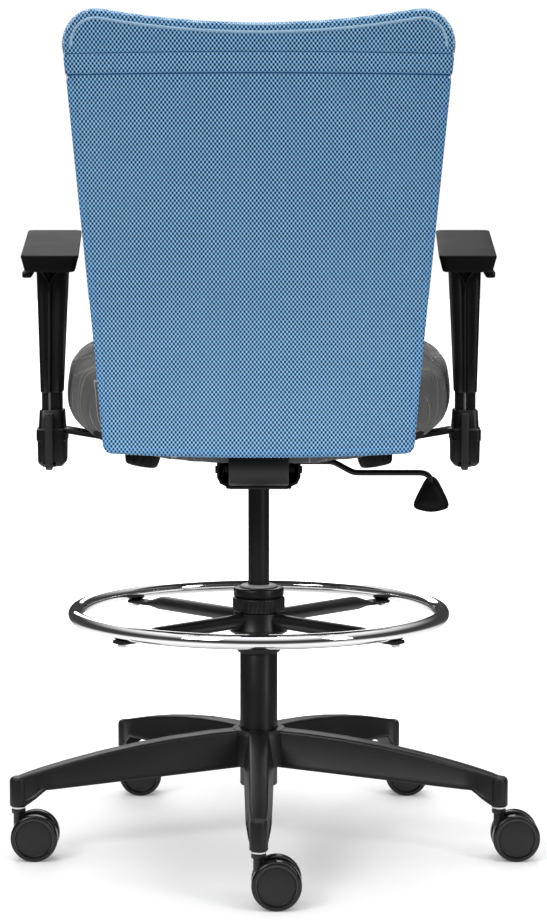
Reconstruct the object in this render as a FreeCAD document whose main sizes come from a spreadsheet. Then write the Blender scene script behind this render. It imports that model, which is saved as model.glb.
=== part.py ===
import FreeCAD, Part
import Sketcher
import math
import os
import re
from FreeCAD import Placement, Rotation, Vector

# Drafting chair: five-star base on twin-wheel casters, gas column with a foot ring, upholstered
# seat, mesh-covered back and two adjustable arms.  Millimetres and degrees.  The origin is the
# column's axis at the floor, +Z is up, the sitter faces -Y, and the sitter's left is +X.

doc = FreeCAD.newDocument("drafting_chair")
sheet = doc.addObject("Spreadsheet::Sheet", "Sizes")

SIZES = (
    # base
    ("leg_count", 5, "legs of the base"),
    ("boss_circle", 329, "column axis to caster stem"),
    ("hub_top", 153, "top of the base hub"),
    ("hub_bottom", 106, "underside of the base hub"),
    ("hub_rad_top", 36, "hub radius at its top"),
    ("hub_rad_low", 43, "hub radius at its underside"),
    ("hub_rim", 12, "height of the hub's straight lower rim"),
    ("leg_fall", 44, "fall of a leg's top from hub to boss"),
    ("leg_rise", 17, "fall of a leg's underside from hub to boss"),
    ("leg_top_wide", 27, "width of a leg's top at the hub"),
    ("leg_low_wide", 42, "width of a leg's skirt at the hub"),
    ("leg_narrowing", 5, "how much a leg's top narrows by its end"),
    ("skirt_narrowing", 11, "how much a leg's skirt narrows by its end"),
    ("gusset_reach", 24, "length of the sloping end of a leg's skirt"),
    ("boss_rad", 11.5, "caster boss radius"),
    ("boss_low", 70, "underside of the caster bosses"),
    ("boss_roof", 4, "closed top of a boss over the stem"),
    # casters
    ("stem_rad", 5.5, "caster stem radius in the boss"),
    ("pivot_rad", 5, "caster stem radius in the caster body"),
    ("washer_rad", 9.2, "caster washer radius"),
    ("washer_thick", 3.4, "caster washer thickness"),
    ("wheel_rad", 30.7, "caster wheel radius"),
    ("wheel_trail", 21.5, "stem axis to wheel axle"),
    ("wheel_inner", 7.2, "mid plane to a wheel's inner side"),
    ("wheel_outer", 22, "mid plane to a wheel's outer side"),
    ("wheel_rim", 6.5, "thickness of the tread and rim"),
    ("wheel_web_in", 14.6, "mid plane to the wheel web's inner side"),
    ("wheel_web_out", 19.6, "mid plane to the wheel web's outer side"),
    ("tread_round", 2.4, "rounding of the tread's corners"),
    ("axle_rad", 4, "caster axle radius"),
    ("web_rad", 22.5, "radius of the caster body between the wheels"),
    ("axle_boss_rad", 11, "radius of the caster body's axle boss"),
    ("collar_low", 60.6, "underside of the caster body's stem collar"),
    # column
    ("tube_rad", 25, "column tube radius"),
    ("tube_wall", 1.6, "column tube wall"),
    ("tube_low", 76, "bottom of the column tube"),
    ("tube_top", 344, "top of the column tube"),
    ("tube_floor", 3, "bottom plate of the column tube"),
    ("rod_clear", 0.6, "play of the piston rod in the tube's bottom plate"),
    ("bush_long", 82, "length of the guide bush in the tube"),
    ("bush_flange", 3, "flange of the guide bush above the tube"),
    ("bearing_thick", 6, "thrust bearing thickness"),
    ("bearing_rad", 16, "thrust bearing radius"),
    ("rod_rad", 5, "piston rod radius"),
    ("rod_top", 420, "top of the piston rod"),
    ("rod_foot", 5, "how far the piston rod stands below the tube"),
    ("rod_seat_rad", 11, "radius of the piston rod's seat on the bearing"),
    ("rod_seat_thick", 4, "thickness of that seat"),
    ("touch_gap", 0.1, "gap between faces that rest on each other"),
    ("gas_rad", 14, "gas cylinder radius"),
    ("gas_low", 195, "bottom of the gas cylinder"),
    ("gas_top", 516, "top of the gas cylinder"),
    ("gas_roof", 20, "closed top of the gas cylinder"),
    # foot ring
    ("ring_circle", 244.5, "column axis to the ring tube's centre"),
    ("ring_tube", 9.5, "ring tube radius"),
    ("ring_high", 309.7, "height of the ring tube's centre"),
    ("spoke_count", 4, "spokes of the foot ring"),
    ("spoke_rad", 9.7, "spoke radius"),
    ("spoke_high", 300.5, "height of the spokes' centre line"),
    ("spoke_start", 30, "column axis to a spoke's inner end"),
    ("spoke_flat_wide", 26, "width of a spoke's flattened end"),
    ("spoke_flat_thick", 5, "thickness of a spoke's flattened end"),
    ("spoke_flat_long", 46, "length of a spoke's flattened end"),
    ("spoke_overlap", 14, "how far a spoke's round part runs into its flat end"),
    ("spoke_end", 8, "how far a spoke's flat end passes the ring's centre line"),
    ("ring_hub_low", 256, "bottom of the ring hub"),
    ("ring_skirt_rad", 28.5, "radius of the ring hub's skirt"),
    ("ring_flange_rad", 39, "radius of the ring hub's flange"),
    ("ring_flange_low", 283, "underside of the ring hub's flange"),
    ("ring_flange_top", 296, "top of the ring hub's flange"),
    ("neck_low", 310.5, "bottom of the ring hub's neck"),
    ("neck_rad", 29, "radius of the ring hub's neck"),
    ("cone_rad", 34, "radius of the ring hub under the lock nut"),
    ("nut_top", 330, "top of the lock nut"),
    ("nut_rad", 35, "radius of the lock nut"),
    ("nut_chamfer", 1.5, "chamfer of the lock nut's edges"),
    ("nut_flutes", 18, "grip flutes round the lock nut"),
    ("flute_rad", 2.2, "radius of a grip flute"),
    ("collar_gap", 1.6, "groove between the lock nut and the top collar"),
    ("collar_top", 343, "top of the top collar"),
    ("collar_rad", 33.5, "radius of the top collar"),
    ("collar_round", 2.5, "chamfer of the top collar's upper edge"),
    ("screw_head_rad", 5.5, "screw head radius"),
    ("screw_head_thick", 4.5, "screw head thickness"),
    ("screw_rad", 3, "screw shank radius"),
    # mechanism
    ("housing_wide", 108, "width of the mechanism housing"),
    ("housing_low", 487, "underside of the mechanism housing"),
    ("housing_top", 523, "top of the mechanism housing"),
    ("housing_front", 150, "column axis to the housing's front"),
    ("housing_back", 94, "column axis to the housing's rear end"),
    ("housing_nose", 24, "rise of the housing's underside at its front"),
    ("housing_wall", 3, "housing wall"),
    ("socket_rad", 17.5, "radius of the column socket"),
    ("socket_low", 479, "bottom of the column socket"),
    ("pivot_back", 50, "column axis to the recline pin"),
    ("pivot_high", 505, "height of the recline pin"),
    ("pin_rad", 5, "recline pin radius"),
    ("pin_proud", 3, "how far the recline pin stands out of the housing"),
    ("barrel_rad", 9.5, "radius of the upright's barrel"),
    ("barrel_long", 68, "length of the upright's barrel"),
    ("spring_rad", 9, "radius of the recline spring's coil"),
    ("spring_wire", 1.3, "wire radius of the recline spring"),
    ("spring_turns", 3, "turns of each recline spring coil"),
    ("spring_clear", 1.5, "room at each end of a recline spring"),
    ("plate_thick", 3.8, "seat plate thickness"),
    ("plate_half", 54, "half width of the seat plate"),
    ("plate_front", 138, "column axis to the seat plate's front"),
    # lift lever
    ("lever_rad", 4, "lift lever radius"),
    ("lever_forward", 20, "lever's centre line in front of the column axis"),
    ("lever_high", 509, "height of the lever at the housing"),
    ("lever_drop", 15, "fall of the lever along its first bend"),
    ("lever_bend_near", 100, "column axis to the lever's first bend"),
    ("lever_bend_far", 128, "column axis to the end of that bend"),
    ("lever_reach", 231, "column axis to the paddle's centre line"),
    ("lever_inside", 16, "how far the lever reaches inside the housing"),
    ("lever_hook", 13, "how far the lever's end drops into the paddle"),
    ("lever_hook_run", 8, "run of the lever's end over that drop"),
    ("lever_hole", 4.5, "room round the lever in the housing's side"),
    ("paddle_wide", 47.5, "paddle width"),
    ("paddle_high", 44, "paddle height"),
    ("paddle_drop", 9, "lever's centre line to the top of the paddle"),
    ("paddle_thick", 11, "paddle thickness"),
    # seat
    ("pan_low", 527, "underside of the seat pan at its middle"),
    ("pan_thick", 10, "seat pan thickness"),
    ("pan_flat", 60, "half width of the pan's level middle"),
    ("pan_half", 212, "half width of the seat pan"),
    ("pan_corner", 40, "corner radius of the seat pan"),
    ("pan_front", 232, "column axis to the pan's front"),
    ("pan_back", 140, "column axis to the pan's rear"),
    ("bar_slope", 9.7, "slope of the pan's wings and of the arm bars"),
    ("seat_half", 262, "half width of the seat cushion"),
    ("seat_low", 523, "underside of the seat cushion"),
    ("seat_front_top", 666, "top of the seat cushion at its front"),
    ("seat_back_top", 641, "top of the seat cushion at its rear"),
    ("seat_front", 272, "column axis to the cushion's front"),
    ("seat_back", 180, "column axis to the cushion's rear"),
    ("soft_gap", 1, "gap round what the cushion encloses"),
    # back
    ("back_low", 543, "lower corners of the back"),
    ("back_belly", 3, "how far the lower edge hangs at its middle"),
    ("back_half_low", 190, "half width of the back at its lower corners"),
    ("back_half_mid", 215, "half width of the back at mid height"),
    ("back_half_top", 232, "half width of the back at its widest"),
    ("back_mid", 804, "height where the mid width is taken"),
    ("back_wide_high", 1020, "height of the back's widest line"),
    ("back_top", 1075.5, "top corners of the back"),
    ("back_dip", 17.5, "how far the top edge dips at its middle"),
    ("back_corner", 46, "reach of the upper corner's curve"),
    ("back_low_corner", 12, "radius of the lower corners"),
    ("back_sag", 36, "how far the side edges stand in front of the middle"),
    ("waist_high", 690, "height where the back stands furthest forward"),
    ("waist_back", 245, "column axis to the mesh at that height"),
    ("low_sweep", 22, "how far the back sweeps rearwards below the waist"),
    ("top_sweep", 87, "how far the back sweeps rearwards above the waist"),
    ("low_power", 1.6, "exponent of the sweep below the waist"),
    ("top_power", 1.55, "exponent of the sweep above the waist"),
    ("mesh_thick", 2, "mesh cover thickness"),
    ("mesh_skirt", 11, "how far the cover wraps round the frame"),
    ("binding_wide", 9, "width of the edge binding"),
    ("trim_proud", 1.2, "how far the binding and the hem band stand proud"),
    ("layer_gap", 0.1, "gap between the back's layers"),
    ("frame_gap", 0.3, "gap between the cover's edge and the frame"),
    ("hem_low", 1001, "lower edge of the hem band"),
    ("hem_top", 1024, "upper edge of the hem band"),
    ("frame_start", 2.2, "mesh face to the back frame's rear"),
    ("frame_thick", 9.5, "back frame thickness"),
    ("frame_wide", 19, "back frame width"),
    ("back_plate_thick", 5, "lower back plate thickness"),
    ("back_plate_half", 139, "half width of the lower back plate"),
    ("back_plate_low", 549, "bottom of the lower back plate"),
    ("back_plate_top", 629, "top of the lower back plate"),
    ("upright_wide", 74, "width of the upright"),
    ("upright_thick", 7, "thickness of the upright"),
    ("upright_top", 622, "top of the upright"),
    ("upright_bend", 24, "inner radius of the upright's bend"),
    ("screw_out", 22, "middle of the plate to its screws"),
    ("screw_low", 568, "height of the lower screws"),
    ("screw_high", 606, "height of the upper screws"),
    ("plate_screw_head", 5.5, "radius of a plate screw's head"),
    ("plate_screw_cap", 3, "thickness of a plate screw's head"),
    ("plate_screw_rad", 2.6, "radius of a plate screw"),
    ("plate_screw_long", 14, "length of a plate screw"),
    ("screw_proud", 2.5, "how far a plate screw's head is let in"),
    ("back_pad_start", 27, "mesh face to the back cushion"),
    ("back_pad_thick", 26, "back cushion thickness"),
    ("back_pad_inset", 5, "how far the back cushion stays inside the outline"),
    # arms
    ("arm_back", 35, "column axis to the arms' centre line"),
    ("arm_out", 270.4, "column axis to the arm tube's centre"),
    ("bar_low", 535.6, "underside of an arm bar at its knob"),
    ("bar_thick", 6.4, "arm bar thickness"),
    ("bar_wide", 46, "arm bar width"),
    ("bar_start", 66, "column axis to an arm bar's inner end"),
    ("bar_end", 257, "column axis to an arm bar's outer end"),
    ("width_travel", 38, "arm width travel"),
    ("knob_out", 150, "column axis to an arm's knob"),
    ("knob_rad", 26, "knob radius"),
    ("knob_high", 27, "knob height"),
    ("stud_rad", 4, "knob stud radius"),
    ("guide_out", 92, "column axis to an arm bar's guide"),
    ("guide_wide", 18, "width of an arm bar's guide"),
    ("guide_thick", 2.5, "thickness of an arm bar's guide"),
    ("guide_foot", 12, "width of a guide's foot"),
    ("guide_clear", 0.6, "play of a bar in its guide"),
    ("sleeve_low", 509, "bottom of the lower sleeve"),
    ("sleeve_top", 583.5, "top of the lower sleeve"),
    ("sleeve_wide", 38.5, "width of the lower sleeve's body"),
    ("sleeve_deep", 58, "depth of the lower sleeve's body"),
    ("sleeve_mouth_wide", 31, "width of the lower sleeve's mouth"),
    ("sleeve_mouth_deep", 46, "depth of the lower sleeve's mouth"),
    ("sleeve_shoulder", 552, "height where the sleeve starts to narrow"),
    ("arm_tube_wide", 25, "arm tube width"),
    ("arm_tube_deep", 36, "arm tube depth"),
    ("arm_tube_wall", 2.5, "arm tube wall"),
    ("arm_tube_low", 520, "bottom of the arm tube"),
    ("arm_tube_top", 716, "top of the arm tube"),
    ("slide_fit", 0.2, "play between the arm tube and the post"),
    ("post_low", 606, "bottom of the arm post"),
    ("post_wide_low", 28, "arm post width at its bottom"),
    ("post_deep_low", 44, "arm post depth at its bottom"),
    ("post_wide_top", 41, "arm post width at its top"),
    ("post_deep_top", 64, "arm post depth at its top"),
    ("post_lean", 2.5, "how far the post's top leans towards the seat"),
    ("post_bend", 8, "corner radius of the post's top"),
    ("post_bend_low", 6, "corner radius of the post's bottom and of the sleeve"),
    ("post_cavity_top", 742, "top of the arm post's cavity"),
    ("pad_low", 779.2, "underside of the arm pad at its middle"),
    ("pad_out", 271.9, "column axis to the middle of an arm pad"),
    ("pad_wide", 73, "arm pad width"),
    ("pad_long", 252, "arm pad length"),
    ("pad_thick", 22, "arm pad thickness"),
    ("pad_corner", 16, "arm pad corner radius"),
    ("pad_round", 2.5, "rounding of the arm pad's upper edge"),
    ("pad_tilt", 7.8, "how far the arm pad rises to the front"),
    ("pad_toe", 3.2, "how far the arm pad turns out at the front"),
    ("trigger_long", 42, "trigger length"),
    ("trigger_wide", 12, "trigger width"),
    ("trigger_thick", 8, "trigger thickness"),
    ("trigger_gap", 4, "gap between the trigger and the pad"),
    ("trigger_side", 0.6, "gap between the trigger and the post"),
    ("trigger_back", 32, "arm's centre line to the trigger's middle"),
    # fits
    ("run_fit", 0.05, "radial play of pins, rods and axles"),
    ("face_gap", 0.3, "gap between faces that move past each other"),
)

for row, (alias, number, meaning) in enumerate(SIZES, start=1):
    sheet.set(f"A{row}", str(number))
    sheet.set(f"B{row}", meaning)
    sheet.setAlias(f"A{row}", alias)
doc.recompute()

SUB_PARTS = []


# Helpers that tie objects to the sheet

def cell(text):
    """Write the sheet's name in front of every alias in an expression."""
    return re.sub(r"\b([a-z]\w*)\b(?!\()", r"Sizes.\1", text)


def value(text):
    """The number that an expression on the sheet gives now."""
    return float(sheet.evalExpression(cell(text)))


def bind(thing, **expressions):
    """Bind properties to expressions; a double underscore stands for a dot."""
    for key, text in expressions.items():
        thing.setExpression(key.replace("__", "."), cell(text))
    return thing


def keep(thing, name):
    """Name a finished sub-part and put it on the list of parts to write."""
    thing.Label = name
    SUB_PARTS.append(thing)
    return thing


def place(thing, across="0", back="0", high="0", turn=None):
    """Bind a sub-part's place; turn is its rotation."""
    thing.Placement = Placement(Vector(), turn or Rotation())
    bind(thing, Placement__Base__x=across, Placement__Base__y=back, Placement__Base__z=high)
    return thing


def plane_of(body, role):
    return next(f for f in body.Origin.OriginFeatures if f.Role == role)


def new_body(name):
    return doc.addObject("PartDesign::Body", name + "_body")


def sketch_on(body, role, offset="0"):
    """An empty sketch on one of the body's origin planes, moved along its normal."""
    sketch = body.newObject("Sketcher::SketchObject", body.Name + "_sketch")
    sketch.AttachmentSupport = (plane_of(body, role), "")
    sketch.MapMode = "FlatFace"
    bind(sketch, AttachmentOffset__Base__z=offset)
    return sketch


def fix_point(sketch, index, position, across, up):
    """Tie one point of a sketch to two expressions."""
    for axis, text, name in (("DistanceX", across, "across"), ("DistanceY", up, "up")):
        number = value(text)
        if abs(number) < 1e-9:
            on = -2 if axis == "DistanceX" else -1
            sketch.addConstraint(Sketcher.Constraint("PointOnObject", index, position, on))
        else:
            made = sketch.addConstraint(Sketcher.Constraint(axis, -1, 1, index, position, number))
            sketch.renameConstraint(made, f"{name}_{index}_{position}")
            sketch.setExpression(f"Constraints.{name}_{index}_{position}", cell(text))


def outline(sketch, corners):
    """A closed outline of straight lines through (across, up) expressions."""
    points = [Vector(value(a), value(b), 0) for a, b in corners]
    first = sketch.GeometryCount
    for i, point in enumerate(points):
        sketch.addGeometry(Part.LineSegment(point, points[(i + 1) % len(points)]))
    for i in range(len(points)):
        after = first + (i + 1) % len(points)
        sketch.addConstraint(Sketcher.Constraint("Coincident", first + i, 2, after, 1))
    for i, (across, up) in enumerate(corners):
        fix_point(sketch, first + i, 1, across, up)


def ring(sketch, radius, across="0", up="0"):
    """A circle whose radius and centre are expressions."""
    centre = Vector(value(across), value(up), 0)
    index = sketch.addGeometry(Part.Circle(centre, Vector(0, 0, 1), value(radius)))
    made = sketch.addConstraint(Sketcher.Constraint("Radius", index, value(radius)))
    sketch.renameConstraint(made, f"radius_{index}")
    sketch.setExpression(f"Constraints.radius_{index}", cell(radius))
    fix_point(sketch, index, 3, across, up)


def oblong(sketch, half_long, half_wide, radius):
    """A rectangle with round corners, centred on the sketch's origin."""
    corners = ((1, 1), (-1, 1), (-1, -1), (1, -1))
    long, wide, bend = value(half_long), value(half_wide), value(radius)
    for i, (sx, sy) in enumerate(corners):
        centre = Vector(sx * (long - bend), sy * (wide - bend), 0)
        arc = Part.Circle(centre, Vector(0, 0, 1), bend)
        start = math.radians(90 * i)
        sketch.addGeometry(Part.ArcOfCircle(arc, start, start + math.pi / 2))
    for i in range(4):
        ends = [(arc_end(sketch, i, 2)), (arc_end(sketch, (i + 1) % 4, 1))]
        sketch.addGeometry(Part.LineSegment(*ends))
    for i in range(4):
        sketch.addConstraint(Sketcher.Constraint("Tangent", i, 2, 4 + i, 1))
        sketch.addConstraint(Sketcher.Constraint("Tangent", 4 + i, 2, (i + 1) % 4, 1))
    for i, (sx, sy) in enumerate(corners):
        fix_point(sketch, i, 3, f"{sx} * ({half_long} - {radius})", f"{sy} * ({half_wide} - {radius})")
    made = sketch.addConstraint(Sketcher.Constraint("Radius", 0, bend))
    sketch.renameConstraint(made, "corner")
    sketch.setExpression("Constraints.corner", cell(radius))
    for i in range(1, 4):
        sketch.addConstraint(Sketcher.Constraint("Equal", 0, i))


def arc_end(sketch, index, position):
    return sketch.getPoint(index, position)


def turned(body, corners, groove=False, role="XZ_Plane", axis="V_Axis"):
    """Turn an outline of (radius, height) expressions about an axis of its sketch."""
    sketch = sketch_on(body, role)
    outline(sketch, corners)
    kind = "PartDesign::Groove" if groove else "PartDesign::Revolution"
    feature = body.newObject(kind, body.Name + "_turned")
    feature.Profile = sketch
    feature.ReferenceAxis = (sketch, [axis])
    feature.Angle = 360
    doc.recompute()
    return feature


def pad(body, sketch, length, both=False, reverse=False):
    feature = body.newObject("PartDesign::Pad", body.Name + "_pad")
    feature.Profile = sketch
    bind(feature, Length=length)
    feature.SideType = "Symmetric" if both else "One side"
    feature.Reversed = reverse
    doc.recompute()
    return feature


def pocket(body, sketch, length, both=False, reverse=False):
    """Cut a sketch into the body; the volume must fall, or the cut went the wrong way."""
    before = body.Shape.Volume
    feature = body.newObject("PartDesign::Pocket", body.Name + "_pocket")
    feature.Profile = sketch
    bind(feature, Length=length)
    feature.SideType = "Symmetric" if both else "One side"
    feature.Reversed = reverse
    doc.recompute()
    if not body.Shape.Volume < before - 1e-3:
        raise RuntimeError(f"{feature.Name} cuts nothing")
    return feature


def around(body, features, count):
    """Repeat features round the body's vertical axis."""
    pattern = body.newObject("PartDesign::PolarPattern", body.Name + "_around")
    pattern.Originals = features
    pattern.Axis = (plane_of(body, "Z_Axis"), [""])
    pattern.Angle = 360
    bind(pattern, Occurrences=count)
    body.Tip = pattern
    doc.recompute()
    return pattern


def smooth(body, edges, radius):
    """Round the edges that a test picks out of the body's shape."""
    names = [f"Edge{i + 1}" for i, edge in enumerate(body.Shape.Edges) if edges(edge)]
    base = body.Tip
    feature = body.newObject("PartDesign::Fillet", body.Name + "_round")
    feature.Base = (base, names)
    bind(feature, Radius=radius)
    body.Tip = feature
    doc.recompute()
    return feature


def is_upright(edge):
    return abs(edge.tangentAt(edge.FirstParameter).z) > 0.99


def primitive(kind, name, turn=None, across="0", back="0", high="0", **sizes):
    """A Part primitive with every size bound to the sheet."""
    thing = doc.addObject("Part::" + kind, name)
    bind(thing, **sizes)
    return place(thing, across, back, high, turn)


def joined(name, pieces):
    thing = doc.addObject("Part::MultiFuse", name)
    thing.Shapes = pieces
    doc.recompute()
    return thing


def less(name, base, tool):
    thing = doc.addObject("Part::Cut", name)
    thing.Base = base
    thing.Tool = tool
    doc.recompute()
    return thing


def group(name, pieces):
    """Separate solids kept as one sub-part."""
    thing = doc.addObject("Part::Compound", name)
    thing.Links = pieces
    doc.recompute()
    return thing


def shaped(name, shape):
    """A sub-part whose shape is worked out here from the sheet's values."""
    thing = doc.addObject("Part::Feature", name)
    thing.Shape = shape
    thing.Placement = Placement()
    return keep(thing, name)


ABOUT_X = Vector(1, 0, 0)
ABOUT_Y = Vector(0, 1, 0)
ABOUT_Z = Vector(0, 0, 1)
ALONG_X = Rotation(ABOUT_Y, 90)
ALONG_Y = Rotation(ABOUT_X, -90)
LEG_STEP = 360 / value("leg_count")
LEG_ANGLES = [90 + LEG_STEP * i for i in range(int(value("leg_count")))]
SPOKE_ANGLES = [45 + 360 / value("spoke_count") * i for i in range(int(value("spoke_count")))]
SIDES = (("left", 1), ("right", -1))


# Base

def leg_section(body, out, low_extra="0"):
    """One cross-section of the leg along +Y, at a distance from the column's axis."""
    share = f"({out}) / boss_circle"
    sketch = sketch_on(body, "XZ_Plane", f"-({out})")
    top = f"hub_top - leg_fall * ({share})^2"
    low = f"hub_bottom - leg_rise * ({share}) - {low_extra}"
    half_top = f"(leg_top_wide - leg_narrowing * {share}) / 2"
    half_low = f"(leg_low_wide - skirt_narrowing * {share}) / 2"
    outline(sketch, (
        (f"-{half_top}", top), (half_top, top),
        (half_low, low), (f"-{half_low}", low),
    ))
    return sketch


def leg_span(body, sections, ruled):
    span = body.newObject("PartDesign::AdditiveLoft", body.Name + "_span")
    span.Profile = sections[0]
    span.Sections = sections[1:]
    span.Ruled = ruled
    doc.recompute()
    return span


def make_base():
    body = new_body("five_star_base")
    turned(body, (
        ("0", "hub_bottom"), ("hub_rad_low", "hub_bottom"), ("hub_rad_low", "hub_bottom + hub_rim"),
        ("hub_rad_top + 2", "hub_top - 4"), ("hub_rad_top - 2", "hub_top"), ("0", "hub_top"),
    ))
    gusset = "boss_circle - boss_rad + 2 - gusset_reach"
    stations = ("hub_rad_top / 2", "boss_circle * 0.35", "boss_circle * 0.62", gusset)
    span = leg_span(body, [leg_section(body, out) for out in stations], False)
    ends = [leg_section(body, gusset), leg_section(body, f"{gusset} + gusset_reach", "gusset_reach * 0.72")]
    toe = leg_span(body, ends, True)
    boss_sketch = sketch_on(body, "XY_Plane", "boss_low")
    ring(boss_sketch, "boss_rad", "0", "boss_circle")
    boss = pad(body, boss_sketch, "hub_top - leg_fall - boss_low")
    around(body, [span, toe, boss], "leg_count")
    column = sketch_on(body, "XY_Plane", "hub_top")
    ring(column, "tube_rad + run_fit")
    pocket(body, column, "hub_top - hub_bottom + 30")
    stem = sketch_on(body, "XY_Plane", "boss_low")
    ring(stem, "stem_rad + run_fit", "0", "boss_circle")
    cut = pocket(body, stem, "hub_top - leg_fall - boss_roof - boss_low", reverse=True)
    around(body, [cut], "leg_count")
    keep(place(body), "five_star_base")


def caster_place(thing, angle):
    """Stand a caster piece, drawn round its own stem, under the boss at an angle."""
    across = f"boss_circle * cos({angle})"
    back = f"boss_circle * sin({angle})"
    return place(thing, across, back)


def make_caster_stems():
    stems = []
    for number, angle in enumerate(LEG_ANGLES, start=1):
        body = new_body(f"caster_stem_{number}")
        turned(body, (
            ("0", "wheel_rad - 6"), ("pivot_rad", "wheel_rad - 6"),
            ("pivot_rad", "boss_low - washer_thick"), ("washer_rad", "boss_low - washer_thick"),
            ("washer_rad", "boss_low"), ("stem_rad", "boss_low"),
            ("stem_rad", "hub_top - leg_fall - boss_roof - 0.5"),
            ("0", "hub_top - leg_fall - boss_roof - 0.5"),
        ))
        stems.append(caster_place(body, angle))
    keep(group("caster_stems", stems), "caster_stems")


def make_caster_body(number, angle):
    """The piece between the wheels, with its axle, drawn with the stem on the Z axis."""
    body = new_body(f"caster_body_{number}")
    web = sketch_on(body, "XZ_Plane")
    ring(web, "web_rad", "-wheel_trail", "wheel_rad")
    pad(body, web, "2 * (wheel_inner - face_gap)", both=True)
    boss = sketch_on(body, "XZ_Plane")
    ring(boss, "axle_boss_rad", "-wheel_trail", "wheel_rad")
    pad(body, boss, "2 * (wheel_web_in - face_gap)", both=True)
    axle = sketch_on(body, "XZ_Plane")
    ring(axle, "axle_rad", "-wheel_trail", "wheel_rad")
    pad(body, axle, "2 * (wheel_web_out + 0.6)", both=True)
    post = sketch_on(body, "XY_Plane", "wheel_rad - 12")
    ring(post, "wheel_inner - face_gap")
    pad(body, post, "boss_low - washer_thick - face_gap - wheel_rad + 12")
    neck = sketch_on(body, "XY_Plane", "collar_low")
    ring(neck, "washer_rad")
    pad(body, neck, "boss_low - washer_thick - face_gap - collar_low")
    bore = sketch_on(body, "XY_Plane", "wheel_rad - 6.5")
    ring(bore, "pivot_rad + run_fit")
    pocket(body, bore, "boss_low", reverse=True)
    keep(caster_place(body, angle), f"caster_body_{number}")


def make_wheel(name, angle, side):
    """One wheel of a pair, turned about the Y axis; side is +1 for the one towards +Y."""
    body = new_body(name)
    rim = "wheel_rad - wheel_rim"
    turned(body, (
        ("axle_rad + run_fit", f"{side} * wheel_web_in"), (rim, f"{side} * wheel_web_in"),
        (rim, f"{side} * wheel_inner"), ("wheel_rad - tread_round", f"{side} * wheel_inner"),
        ("wheel_rad", f"{side} * (wheel_inner + tread_round)"),
        ("wheel_rad", f"{side} * (wheel_outer - tread_round)"),
        ("wheel_rad - tread_round", f"{side} * wheel_outer"),
        (rim, f"{side} * wheel_outer"), (rim, f"{side} * wheel_web_out"),
        ("axle_rad + run_fit", f"{side} * wheel_web_out"),
    ), role="XY_Plane", axis="V_Axis")
    across = f"boss_circle * cos({angle}) - wheel_trail"
    keep(place(body, across, f"boss_circle * sin({angle})", "wheel_rad"), name)


def make_casters():
    make_caster_stems()
    for number, angle in enumerate(LEG_ANGLES, start=1):
        make_caster_body(number, angle)
        make_wheel(f"caster_wheel_outer_{number}", angle, 1)
        make_wheel(f"caster_wheel_inner_{number}", angle, -1)


# Column

def make_column():
    tube = new_body("column_tube")
    turned(tube, (
        ("rod_rad + rod_clear", "tube_low"), ("tube_rad", "tube_low"), ("tube_rad", "tube_top"),
        ("tube_rad - tube_wall", "tube_top"), ("tube_rad - tube_wall", "tube_low + tube_floor"),
        ("rod_rad + rod_clear", "tube_low + tube_floor"),
    ))
    keep(place(tube), "column_tube")
    bush = new_body("column_guide_bush")
    inner = "tube_rad - tube_wall - run_fit"
    turned(bush, (
        ("gas_rad + run_fit", "tube_top - bush_long"), (inner, "tube_top - bush_long"),
        (inner, "tube_top"), ("tube_rad - 1", "tube_top"), ("tube_rad - 1", "tube_top + 1.5"),
        ("gas_rad + 4", "tube_top + bush_flange"), ("gas_rad + run_fit", "tube_top + bush_flange"),
    ))
    keep(place(bush), "column_guide_bush")
    bearing = new_body("thrust_bearing")
    turned(bearing, (
        ("rod_rad + rod_clear / 2", "tube_low + tube_floor"), ("bearing_rad", "tube_low + tube_floor"),
        ("bearing_rad", "tube_low + tube_floor + bearing_thick"),
        ("rod_rad + rod_clear / 2", "tube_low + tube_floor + bearing_thick"),
    ))
    keep(place(bearing), "thrust_bearing")
    rod = new_body("gas_piston_rod")
    seat = "tube_low + tube_floor + bearing_thick + touch_gap"
    turned(rod, (
        ("0", "tube_low - rod_foot"), ("rod_rad", "tube_low - rod_foot"), ("rod_rad", seat),
        ("rod_seat_rad", seat), ("rod_seat_rad", f"{seat} + rod_seat_thick"),
        ("rod_rad", f"{seat} + rod_seat_thick"),
        ("rod_rad", "rod_top"), ("0", "rod_top"),
    ))
    keep(place(rod), "gas_piston_rod")
    gas = new_body("gas_cylinder")
    turned(gas, (
        ("rod_rad + run_fit", "gas_low"), ("gas_rad", "gas_low"), ("gas_rad", "gas_top"),
        ("0", "gas_top"), ("0", "gas_top - gas_roof"), ("rod_rad + run_fit", "gas_top - gas_roof"),
    ))
    keep(place(gas), "gas_cylinder")


# Foot ring

def spoke_pieces(number, angle):
    """A round spoke whose outer end is flattened under the ring."""
    turn = Rotation(ABOUT_Z, angle)
    flat_top = "ring_high - ring_tube"
    round_part = primitive(
        "Cylinder", f"spoke_round_{number}", turn.multiply(ALONG_X), high="spoke_high",
        Radius="spoke_rad", Height="ring_circle - spoke_flat_long + spoke_overlap",
    )
    bind(round_part, Placement__Base__x=f"spoke_start * cos({angle})",
         Placement__Base__y=f"spoke_start * sin({angle})",
         Height="ring_circle - spoke_flat_long + spoke_overlap - spoke_start")
    flat = primitive(
        "Box", f"spoke_flat_{number}", turn, high=f"{flat_top} - spoke_flat_thick",
        Length="spoke_flat_long", Width="spoke_flat_wide", Height="spoke_flat_thick",
    )
    start = "(ring_circle - spoke_flat_long + spoke_end)"
    bind(flat, Placement__Base__x=f"{start} * cos({angle}) + spoke_flat_wide / 2 * sin({angle})",
         Placement__Base__y=f"{start} * sin({angle}) - spoke_flat_wide / 2 * cos({angle})")
    return joined(f"spoke_{number}", [round_part, flat])


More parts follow.
